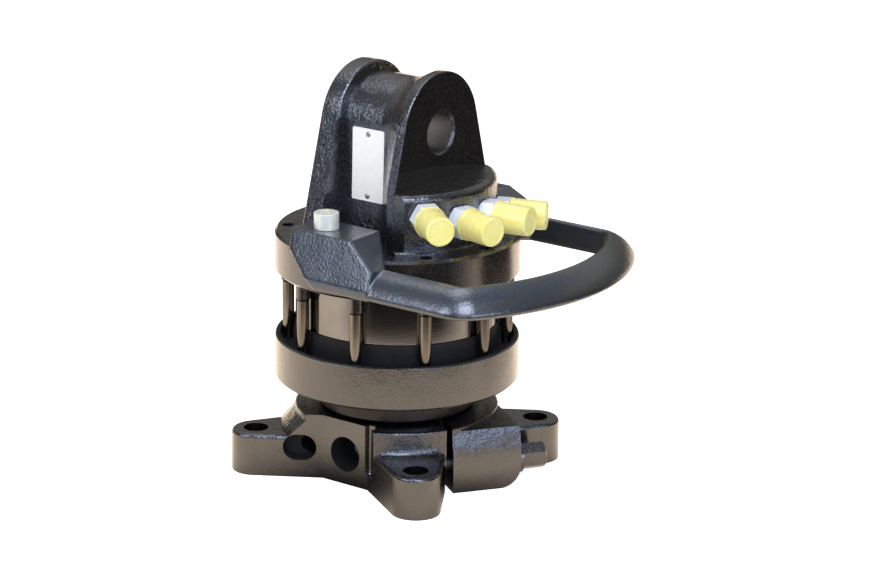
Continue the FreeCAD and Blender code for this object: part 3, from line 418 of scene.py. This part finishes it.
# every carried node gets its finish; those that a new piece stands for are hidden later
finishes = {
    "clamp_flange": castEnamel, "clamp_screw": castEnamel, "lower_housing": turnedEnamel,
    "head_casting": castEnamel, "hose_guard": blastedEnamelPaintedReflection, "guard_screws": agedZinc,
    "stator_ring": statorSteel, "housing_screws": screwSteel, "port_adapters": zincPlate,
    "adapter_seals": zincPlate, "port_caps": capPlastic, "id_plate": plateCoat,
    "plate_rivets": rivetSteel, "shaft_seal": sealRubber, "swivel_seals": sealRubber,
    "stator_seals": sealRubber, "bearing_cage": bushBronze, "shaft_bush_lower": bushBronze,
    "shaft_bush_upper": bushBronze,
}
for name, node in nodes.items():
    node.data.materials.clear()
    node.data.materials.append(finishes.get(name, shaftSteel))


# head casting: sand-cast lug and drum, turned disc, milled lug, bored pin hole

headFacts = {"edge": 0.7, "lobeFront": 25.5, "lobeRim": 49.0, "lobeFoot": 214.0,
             "lobeRound": 3.2, "lobeSteps": 4, "onPlane": 0.05, "rimInner": 101.0,
             "rimTop": 213.0, "footTop": 179.0, "boreAxis": 302.5, "boreOuter": 17.8,
             "boreHalf": 43.0, "lugFace": 44.5, "lugSkin": 0.5, "squareOn": 0.99}


def makeHeadCasting():
    f = headFacts
    piece = mergedCopy("head_casting", "headCasting")

    def onLobeEdge(*ends):
        # the back lobe's outer edge in front, which is rounder than the others
        return all(abs(at.y - f["lobeFront"]) < f["onPlane"] and at.z > f["lobeFoot"]
                   and max(abs(at.x), math.hypot(at.x, max(at.z - f["boreAxis"], 0))) > f["lobeRim"]
                   for at in ends)

    pickEdges(piece, onLobeEdge)
    bpy.ops.mesh.bevel(offset=f["lobeRound"] * mm, segments=f["lobeSteps"])
    objectMode()
    softenEdges(piece, f["edge"])
    smooth(piece)
    standFor(piece, "head_casting", castEnamel, turnedEnamel, boreSteel, milledEnamel)

    def turned(at, normal):
        onRim = math.hypot(at.x, at.y) > f["rimInner"] and at.z < f["rimTop"]
        return onRim or at.z < f["footTop"]

    def bored(at, normal):
        fromAxis = math.hypot(at.x, at.z - f["boreAxis"])
        return fromAxis < f["boreOuter"] and abs(at.y) < f["boreHalf"]

    def milled(at, normal):
        return abs(normal.y) > f["squareOn"] and abs(abs(at.y) - f["lugFace"]) < f["lugSkin"]

    coatFaces(piece, (1, turned), (2, bored), (3, milled))


# clamp flange: cast hub and clamp block, smooth ears and port face

flangeFacts = {"edge": 1.0, "castFrom": 85.0, "castAbove": 35.6, "slopeAbove": 30.0,
               "slope": (0.1, 0.95), "portFacing": -0.98, "hubWall": (85.0, 91.0),
               "wallAbove": 20.0, "wallTilt": 0.3, "armFacing": 212.3,
               "windowDeep": (27.5, 47.5), "windowAlong": (62.0, 96.0), "windowUp": (14.0, 39.5),
               "portDeep": (-71.5, -46.0), "portHalf": 16.0, "portUp": (11.0, 43.0),
               "holes": 86.5, "holeOuter": 11.05, "holeTilt": 0.5}


def makeClampFlange():
    f = flangeFacts
    piece = mergedCopy("clamp_flange", "clampFlange")
    softenEdges(piece, f["edge"])
    smooth(piece)
    standFor(piece, "clamp_flange", turnedEnamel, castEnamel, hollowPaintedShade, screwSteel, coarseEnamel)
    turn = math.radians(f["armFacing"])
    facing = Vector((math.cos(turn), math.sin(turn), 0))
    along = Vector((math.sin(turn), -math.cos(turn), 0))

    def cast(at, normal):
        top = (math.hypot(at.x, at.y) > f["castFrom"] and at.z > f["castAbove"]
               and normal.x > f["portFacing"])
        return top or (between(normal.z, f["slope"]) and at.z > f["slopeAbove"])

    def hubWall(at, normal):
        return (between(math.hypot(at.x, at.y), f["hubWall"]) and at.z > f["wallAbove"]
                and abs(normal.z) < f["wallTilt"] and normal.x > f["portFacing"])

    # the window and the port take the nearly black matt: painted shade inside them
    def hollow(at, normal):
        window = (between(at.dot(facing), f["windowDeep"])
                  and between(at.dot(along), f["windowAlong"]) and between(at.z, f["windowUp"]))
        port = (between(at.x, f["portDeep"]) and abs(at.y) < f["portHalf"]
                and between(at.z, f["portUp"]))
        return window or port

    def drilled(at, normal):
        fromHole = math.hypot(abs(at.x) - f["holes"], abs(at.y) - f["holes"])
        return fromHole < f["holeOuter"] and abs(normal.z) < f["holeTilt"]

    coatFaces(piece, (1, cast), (4, hubWall), (2, hollow), (3, drilled))


# hose guard: one blasted casting, all its edges rubbed round

guardFacts = {"voxel": 1.0, "pull": 0.5, "rounds": 14}


def makeHoseGuard():
    f = guardFacts
    piece = mergedCopy("hose_guard", "hoseGuard")
    addModifier(piece, "REMESH", mode="VOXEL", voxel_size=f["voxel"] * mm)
    addModifier(piece, "SMOOTH", factor=f["pull"], iterations=f["rounds"])
    selectOnly(piece)
    bpy.ops.object.shade_smooth()
    standFor(piece, "hose_guard", blastedEnamelPaintedReflection)


# turned body: lower housing, with painted shade in its trough and on its neck, and stator

turnedFacts = {"housingEdge": 0.4, "statorEdge": 0.2, "troughRadius": 101.0, "neckTop": 76.0}


def makeTurnedBody():
    f = turnedFacts
    housing = mergedCopy("lower_housing", "lowerHousing")
    softenEdges(housing, f["housingEdge"])
    smooth(housing)
    standFor(housing, "lower_housing", turnedEnamel, hollowPaintedShade, neckPaintedShade)
    # the trough and the neck under the housing get painted shade
    coatFaces(housing, (1, lambda at, normal: math.hypot(at.x, at.y) < f["troughRadius"]),
              (2, lambda at, normal: at.z < f["neckTop"]))
    stator = mergedCopy("stator_ring", "statorRing")
    softenEdges(stator, f["statorEdge"])
    smooth(stator)
    standFor(stator, "stator_ring", statorSteel)


# hose ports: adapter, bonded seal and cap on each

portFacts = {"angles": (-127.0, -105.0, -83.0, -63.0), "heights": (243.0, 237.0, 236.0, 230.0),
             "seat": 82.6}
hexagonFacts = {"overlap": 0.01, "clear": 0.6, "rise": 0.75}
adapterFacts = {"flats": 25.0, "hexLow": 1.6, "hexHigh": 13.6, "chamfer": 1.6,
                "studRadius": 8.3, "studDepth": 12.0, "tipRadius": 9.0, "tipLength": 14.0,
                "lead": 1.0, "boreRadius": 5.0, "edge": 0.25}
sealFacts = {"outer": 12.0, "inner": 8.35, "thickness": 1.6, "lip": 0.35, "proud": 0.02}
capFacts = {"foot": 13.7, "lipRadius": 13.75, "lipHeight": 3.0, "lipRound": 0.5,
            "lipStep": 0.4, "baseRadius": 13.15, "tuck": 0.05, "tuckRise": 0.2,
            "endRadius": 12.25, "length": 31.4, "endRound": 1.3, "endTurns": (0, 30, 60, 90),
            "dishRadius": 9.4, "dishSlope": 0.5, "dishDepth": 0.5, "cavityRadius": 9.1,
            "cavityDepth": 16.0, "cavityRound": 1.0, "mouthRound": 0.3, "proud": 0.02}


def chamferedHexagon(name, flats, low, high, chamfer, edge):
    # a hexagon turned off at both ends, as on a nut
    f = hexagonFacts
    piece = hexagonBar(name, flats, low, high)
    addModifier(piece, "BEVEL", width=edge * mm, segments=2, limit_method="ANGLE")
    corner = flats / math.sqrt(3)
    cone = turnOnLathe("chamferTool", [
        (corner - chamfer, low - f["overlap"]), (corner + f["clear"], low + chamfer * f["rise"]),
        (corner + f["clear"], high - chamfer * f["rise"]),
        (corner - chamfer, high + f["overlap"])])
    combine(piece, cone, "INTERSECT")
    return piece


def makeAdapter():
    f = adapterFacts
    piece = chamferedHexagon("adapter", f["flats"], f["hexLow"], f["hexHigh"], f["chamfer"],
                             f["edge"])
    tip, lead = f["hexHigh"] + f["tipLength"], f["lead"]
    tube = turnOnLathe("adapterTube", [
        (f["studRadius"] - lead, -f["studDepth"]), (f["studRadius"], -f["studDepth"] + lead),
        (f["studRadius"], f["hexLow"] + lead), (f["tipRadius"], f["hexLow"] + 2 * lead),
        (f["tipRadius"], tip - lead), (f["tipRadius"] - lead, tip)], sides=48)
    combine(piece, tube, "UNION")
    drillThrough(piece, f["boreRadius"], sides=32)
    return piece


def makeBondedSeal():
    f = sealFacts
    piece = turnOnLathe("bondedSeal", [
        (f["outer"] - f["lip"], f["proud"]), (f["outer"], f["lip"]),
        (f["outer"], f["thickness"] - f["lip"]),
        (f["outer"] - f["lip"], f["thickness"] - f["proud"])], sides=48)
    drillThrough(piece, f["inner"], sides=48)
    return piece


def makeCap():
    f = capFacts
    end, bend = f["length"], f["endRound"]
    rim = [(f["endRadius"] - bend * (1 - math.cos(math.radians(a))),
            end - bend * (1 - math.sin(math.radians(a)))) for a in f["endTurns"]]
    return turnOnLathe("cap", [
        (f["cavityRadius"] - f["cavityRound"], f["cavityDepth"]),
        (f["cavityRadius"], f["cavityDepth"] - f["cavityRound"]),
        (f["cavityRadius"], f["mouthRound"]), (f["cavityRadius"] + f["mouthRound"], f["proud"]),
        (f["lipRadius"] - f["lipRound"], f["proud"]), (f["lipRadius"], f["lipRound"]),
        (f["lipRadius"], f["lipHeight"] - f["lipRound"]),
        (f["lipRadius"] - f["lipStep"], f["lipHeight"] - f["tuck"]),
        (f["baseRadius"] + f["tuck"], f["lipHeight"] + f["tuckRise"]), *rim,
        (f["dishRadius"] + f["dishSlope"], end), (f["dishRadius"], end - f["dishDepth"])],
        sides=72)


def makeHosePorts():
    for make, node, name, foot in ((makeAdapter, "port_adapters", "portAdapters", 0.0),
                                   (makeBondedSeal, "adapter_seals", "adapterSeals", 0.0),
                                   (makeCap, "port_caps", "portCaps", capFacts["foot"])):
        piece = repeatAs(make(), name, [
            placeAlong(angle, portFacts["seat"] + foot, height)
            for angle, height in zip(portFacts["angles"], portFacts["heights"])])
        smooth(piece, meshFacts["smallSharpFrom"])
        standFor(piece, node, finishes[node])


# screws: ten long ones round the stator, two that hold the guard, one that closes the clamp

longScrewFacts = {"count": 10, "firstAngle": 15.7, "circle": 94.0, "bottom": 83.0,
                  "headTop": 93.0, "headRadius": 8.0, "headRound": 0.3, "waistRadius": 4.4,
                  "waistTop": 121.0, "shankRadius": 5.2, "taperTop": 131.0, "paintedShadeFrom": 162.0,
                  "tip": 205.0, "socket": 8.0, "socketDepth": 4.0, "chamfer": 0.8}
guardScrewFacts = {"x": 95.0, "y": 2.0, "seat": 232.0, "headRadius": 10.5, "headHeight": 14.0,
                   "footRound": 0.5, "topRound": 0.3, "chamfer": 1.0, "shankRadius": 7.0,
                   "lead": 1.0, "tip": 188.0, "socket": 12.0, "socketDepth": 7.0}
clampScrewFacts = {"flats": 20.5, "headLength": 21.5, "chamfer": 2.0, "edge": 0.3,
                   "shankRadius": 8.0, "lead": 1.0, "start": -14.95, "seat": 90.55,
                   "reach": 65.0, "height": 18.0, "angle": -125.0}
socketMargin = 1.0  # how far a tool for a hexagon socket stands out of the head


def cutSocket(piece, flats, low, high):
    combine(piece, hexagonBar("socketTool", flats, low, high), "DIFFERENCE")


def makeLongScrews():
    f = longScrewFacts
    screw = turnOnLathe("longScrew", [
        (f["headRadius"] - f["chamfer"], f["bottom"]),
        (f["headRadius"], f["bottom"] + f["chamfer"]),
        (f["headRadius"], f["headTop"] - f["headRound"]),
        (f["headRadius"] - f["headRound"], f["headTop"]), (f["waistRadius"], f["headTop"]),
        (f["waistRadius"], f["waistTop"]), (f["shankRadius"], f["taperTop"]),
        (f["shankRadius"], f["paintedShadeFrom"]), (f["shankRadius"], f["tip"] - f["chamfer"]),
        (f["shankRadius"] - f["chamfer"], f["tip"])], sides=40)
    cutSocket(screw, f["socket"], f["bottom"] - socketMargin, f["bottom"] + f["socketDepth"])
    turns = [math.radians(f["firstAngle"] + 360 / f["count"] * i) for i in range(f["count"])]
    piece = repeatAs(screw, "housingScrews", [
        Matrix.Translation(Vector((math.cos(turn), math.sin(turn), 0)) * f["circle"] * mm)
        for turn in turns])
    smooth(piece, meshFacts["smallSharpFrom"])
    standFor(piece, "housing_screws", screwSteel, screwSteelPaintedShade)
    # the shanks above this height get the dark steel: painted shade under the disc
    coatFaces(piece, (1, lambda at, normal: at.z > f["paintedShadeFrom"]))


def makeGuardScrews():
    f = guardScrewFacts
    top = f["seat"] + f["headHeight"]
    screw = turnOnLathe("guardScrew", [
        (f["shankRadius"] - f["lead"], f["tip"]), (f["shankRadius"], f["tip"] + f["lead"]),
        (f["shankRadius"], f["seat"]), (f["headRadius"] - f["footRound"], f["seat"]),
        (f["headRadius"], f["seat"] + f["footRound"]), (f["headRadius"], top - f["chamfer"]),
        (f["headRadius"] - f["topRound"], top - f["topRound"]),
        (f["headRadius"] - f["chamfer"], top)], sides=64)
    cutSocket(screw, f["socket"], top - f["socketDepth"], top + socketMargin)
    piece = repeatAs(screw, "guardScrews", [
        Matrix.Translation((x * mm, f["y"] * mm, 0)) for x in (-f["x"], f["x"])])
    smooth(piece, meshFacts["smallSharpFrom"])
    standFor(piece, "guard_screws", agedZinc)


def makeClampScrew():
    f = clampScrewFacts
    length, lead = f["seat"] - f["start"], f["lead"]
    head = chamferedHexagon("clampScrew", f["flats"], length, length + f["headLength"],
                            f["chamfer"], f["edge"])
    shank = turnOnLathe("clampShank", [
        (f["shankRadius"] - lead, 0), (f["shankRadius"], lead), (f["shankRadius"], length + lead),
        (f["shankRadius"] - lead, length + 2 * lead)], sides=40)
    combine(head, shank, "UNION")
    head.data.transform(Matrix.Rotation(math.radians(f["angle"]), 4, "Z")
                        @ Matrix.Translation((f["reach"] * mm, f["start"] * mm, f["height"] * mm))
                        @ Matrix.Rotation(-math.pi / 2, 4, "X"))
    smooth(head, meshFacts["smallSharpFrom"])
    standFor(head, "clamp_screw", castEnamel)


# bare identification plate and its two rivets

plateFacts = {"width": 33.0, "length": 62.0, "thickness": 0.8, "corner": 1.5, "cornerSteps": 5,
              "border": 1.0, "borderSlope": 0.2, "press": 0.12, "lean": 1.0, "outwards": -0.9,
              "sharpFrom": 20, "rivetRadius": 2.25, "rivetHeight": 1.2, "rivetInset": 4.5,
              "rivetTurns": (0, 0.3, 0.6, 0.9, 1.2, 1.4)}  # the dome's turns are in radians


def makePlate():
    f = plateFacts
    low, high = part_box("id_plate")
    middle = (Vector(low) + Vector(high)) / 2
    stand = Matrix.Translation(middle) @ Matrix.Rotation(math.radians(f["lean"]), 4, "Y")
    plate = newPrimitive(bpy.ops.mesh.primitive_cube_add, "idPlate", size=1,
                         scale=(f["thickness"] * mm, f["width"] * mm, f["length"] * mm))
    pickEdges(plate, lambda a, b: abs(a.x - b.x) > f["thickness"] / 2)
    bpy.ops.mesh.bevel(offset=f["corner"] * mm, segments=f["cornerSteps"])
    pickFaces(plate, lambda at, normal: normal.x < f["outwards"])
    bpy.ops.mesh.inset(thickness=f["border"] * mm)
    bpy.ops.mesh.inset(thickness=f["borderSlope"] * mm, depth=-f["press"] * mm)
    objectMode()
    plate.data.transform(stand)
    smooth(plate, f["sharpFrom"])
    standFor(plate, "id_plate", plateCoat)
    rivet = turnOnLathe("rivet", [
        (f["rivetRadius"] * math.cos(turn), f["rivetHeight"] * math.sin(turn))
        for turn in f["rivetTurns"]], sides=32)
    rise = f["length"] / 2 - f["rivetInset"]
    piece = repeatAs(rivet, "plateRivets", [
        stand @ Matrix.Translation((-f["thickness"] / 2 * mm, 0, z * mm))
        @ Matrix.Rotation(-math.pi / 2, 4, "Y") for z in (-rise, rise)])
    smooth(piece, meshFacts["smallSharpFrom"])
    standFor(piece, "plate_rivets", rivetSteel)


for stage, make in (("head casting", makeHeadCasting), ("clamp flange", makeClampFlange),
                    ("hose guard", makeHoseGuard), ("turned body", makeTurnedBody),
                    ("hose ports", makeHosePorts), ("long screws", makeLongScrews),
                    ("guard screws", makeGuardScrews), ("clamp screw", makeClampScrew),
                    ("plate", makePlate)):
    make()
    print(stage, "made")


# floor: pale to the camera, and for gloss a pool of tones with darker and cooler sides.
# Its size and reaches are in metres

floorFacts = {"size": 40.0, "drop": 0.2, "paint": "#f4f3f1", "glow": 0.8, "mirror": 1.6,
              "near": "#f6e1ca", "cool": "#c5d3ee", "dark": "#24211f",
              "shadow": (0.19, 0.07)}  # the reaches where the shadow starts and is full

# each side of the floor comes in between two cosines of the angle from its azimuth, and
# between two reaches
floorSides = {
    "left": {"azimuth": 140.0, "cosines": (0.6, 0.9), "reach": (0.8, 0.95)},
    "front": {"azimuth": 226.0, "cosines": (0.25, 0.85), "reach": (0.45, 0.53)},
    "right": {"azimuth": 318.0, "cosines": (0.86, 0.96), "reach": (0.25, 0.75)},
}


def turnedTowards(tree, direction, azimuth, cosines):
    # 0 to 1 as the level part of a direction swings towards an azimuth
    flat = addNode(tree, "ShaderNodeVectorMath", {"operation": "MULTIPLY", 1: (1, 1, 0)},
                   {0: direction})
    unit = addNode(tree, "ShaderNodeVectorMath", {"operation": "NORMALIZE"}, {0: flat.outputs[0]})
    turn = math.radians(azimuth)
    cosine = addNode(tree, "ShaderNodeVectorMath",
                     {"operation": "DOT_PRODUCT", 1: (math.cos(turn), math.sin(turn), 0)},
                     {0: unit.outputs[0]})
    return addNode(tree, "ShaderNodeMapRange",
                   {"interpolation_type": "SMOOTHSTEP", "From Min": cosines[0],
                    "From Max": cosines[1]}, {"Value": cosine.outputs["Value"]}).outputs[0]


def makeFloor():
    f = floorFacts
    floor = newPrimitive(bpy.ops.mesh.primitive_plane_add, "paleFloor", size=f["size"])
    floor.data.transform(Matrix.Translation((0, 0, -f["drop"] * mm)))
    paint, tree, where = newMaterial("palePaintedFloor")
    ray = addNode(tree, "ShaderNodeLightPath")
    reach = addNode(tree, "ShaderNodeVectorMath", {"operation": "LENGTH"}, {0: where})
    parts = {}
    for name, side in floorSides.items():
        far = addNode(tree, "ShaderNodeMapRange",
                      {"interpolation_type": "SMOOTHSTEP", "From Min": side["reach"][0],
                       "From Max": side["reach"][1]}, {"Value": reach.outputs["Value"]})
        near = turnedTowards(tree, where, side["azimuth"], side["cosines"])
        parts[name] = addNode(tree, "ShaderNodeMath", {"operation": "MULTIPLY"},
                              {0: far.outputs[0], 1: near}).outputs[0]
    dark = addNode(tree, "ShaderNodeMath", {"operation": "MAXIMUM"},
                   {0: parts["front"], 1: parts["right"]})
    shadow = addNode(tree, "ShaderNodeMapRange",
                     {"interpolation_type": "SMOOTHSTEP", "From Min": f["shadow"][0],
                      "From Max": f["shadow"][1]}, {"Value": reach.outputs["Value"]})
    cooled = addNode(tree, "ShaderNodeMix",
                     {"data_type": "RGBA", 6: linearColour(f["near"]), 7: linearColour(f["cool"])},
                     {0: parts["left"]})
    darkened = addNode(tree, "ShaderNodeMix", {"data_type": "RGBA", 7: linearColour(f["dark"])},
                       {0: dark.outputs[0], 6: cooled.outputs[2]})
    shaded = addNode(tree, "ShaderNodeMix", {"data_type": "RGBA", 7: linearColour(f["dark"])},
                     {0: shadow.outputs[0], 6: darkened.outputs[2]})
    matt = addNode(tree, "ShaderNodeBsdfDiffuse", {"Color": linearColour(f["paint"])})
    glow = addNode(tree, "ShaderNodeEmission", {"Strength": f["glow"]})
    seen = addNode(tree, "ShaderNodeAddShader", links={0: matt.outputs[0], 1: glow.outputs[0]})
    mirrored = addNode(tree, "ShaderNodeEmission", {"Strength": f["mirror"]},
                       {"Color": shaded.outputs[2]})
    forCamera = addNode(tree, "ShaderNodeMixShader", links={
        0: ray.outputs["Is Camera Ray"], 1: matt.outputs[0], 2: seen.outputs[0]})
    forGloss = addNode(tree, "ShaderNodeMixShader", links={
        0: ray.outputs["Is Glossy Ray"], 1: forCamera.outputs[0], 2: mirrored.outputs[0]})
    addNode(tree, "ShaderNodeOutputMaterial", links={"Surface": forGloss.outputs[0]})
    floor.data.materials.append(paint)


# room: white to the camera, and for gloss a wall that is dark low down and pale half way
# up, and darker in front of the object than behind it

roomFacts = {"tones": ((0.0, "#2a2826"), (0.27, "#55534f"), (0.36, "#6c6a66"), (0.5, "#a19d96"),
                       (0.72, "#777b83"), (0.87, "#6d7480")),
             "front": "#262728", "backAzimuth": 37.0, "backCosines": (-0.5, 0.6),
             "highUp": (0.3, 0.9), "mirror": 1.45, "fill": 0.44, "white": "#ffffff"}


def makeRoom():
    f = roomFacts
    world = bpy.data.worlds.new("studioRoom")
    bpy.context.scene.world = world
    world.use_nodes = True
    tree = world.node_tree
    tree.nodes.clear()
    ray = addNode(tree, "ShaderNodeLightPath")
    direction = addNode(tree, "ShaderNodeTexCoord").outputs["Generated"]
    split = addNode(tree, "ShaderNodeSeparateXYZ", links={0: direction})
    sky = addNode(tree, "ShaderNodeValToRGB", {"stops": f["tones"]}, {0: split.outputs["Z"]})
    behind = turnedTowards(tree, direction, f["backAzimuth"], f["backCosines"])
    high = addNode(tree, "ShaderNodeMapRange",
                   {"From Min": f["highUp"][0], "From Max": f["highUp"][1]},
                   {"Value": split.outputs["Z"]})
    share = addNode(tree, "ShaderNodeMath", {"operation": "MAXIMUM"},
                    {0: behind, 1: high.outputs[0]})
    tones = addNode(tree, "ShaderNodeMix", {"data_type": "RGBA", 6: linearColour(f["front"])},
                    {0: share.outputs[0], 7: sky.outputs[0]})
    mirrored = addNode(tree, "ShaderNodeBackground", {"Strength": f["mirror"]},
                       {"Color": tones.outputs[2]})
    fill = addNode(tree, "ShaderNodeBackground",
                   {"Color": linearColour(f["white"]), "Strength": f["fill"]})
    white = addNode(tree, "ShaderNodeBackground",
                    {"Color": linearColour(f["white"]), "Strength": 1.0})
    forGloss = addNode(tree, "ShaderNodeMixShader", links={
        0: ray.outputs["Is Glossy Ray"], 1: fill.outputs[0], 2: mirrored.outputs[0]})
    forCamera = addNode(tree, "ShaderNodeMixShader", links={
        0: ray.outputs["Is Camera Ray"], 1: forGloss.outputs[0], 2: white.outputs[0]})
    addNode(tree, "ShaderNodeOutputWorld", links={"Surface": forCamera.outputs[0]})


# square softboxes, aimed at one height on the axis: azimuth and rise in degrees,
# distance and size in metres, power in watts, colour

lampHeight = 0.17  # metres
lampFacts = {
    "wallSoftbox": (214, 13, 3.3, 1.3, 15, "#c3d4fb"),
    "frontSoftbox": (248, 12, 1.8, 0.8, 9, "#c3d4fb"),
    "keySoftbox": (224, 50, 1.9, 0.95, 22, "#dbe6ff"),
    "leftSoftbox": (160, 32, 1.8, 0.7, 10, "#d9e4ff"),
    "topSoftbox": (60, 75, 2.0, 1.2, 10, "#eef3ff"),
}


def makeLamps():
    aim = Vector((0, 0, lampHeight))
    for name, (azimuth, elevation, distance, size, power, colour) in lampFacts.items():
        turn, rise = math.radians(azimuth), math.radians(elevation)
        light = bpy.data.lights.new(name, "AREA")
        light.shape, light.size, light.energy = "SQUARE", size, power
        light.color = linearColour(colour)[:3]
        stand = bpy.data.objects.new(name, light)
        stand.location = aim + distance * Vector((
            math.cos(turn) * math.cos(rise), math.sin(turn) * math.cos(rise), math.sin(rise)))
        stand.rotation_euler = (aim - stand.location).to_track_quat("-Z", "Y").to_euler()
        bpy.context.scene.collection.objects.link(stand)


# camera: where the photograph was taken from, in metres and degrees, with a lens in mm

cameraFacts = {"place": (-1.988684, -1.514971, 0.922379),
               "turn": (72.967715, -0.645755, -53.237835), "lens": 126.146, "sensor": 36.0}


def makeCamera():
    f = cameraFacts
    data = bpy.data.cameras.new("camera")
    data.lens, data.sensor_width = f["lens"], f["sensor"]
    camera = bpy.data.objects.new("camera", data)
    camera.location = f["place"]
    camera.rotation_euler = [math.radians(a) for a in f["turn"]]
    bpy.context.scene.collection.objects.link(camera)
    bpy.context.scene.camera = camera
    bpy.context.scene.view_settings.view_transform = "Standard"


for make in (makeFloor, makeRoom, makeLamps, makeCamera):
    make()
print("stage set")
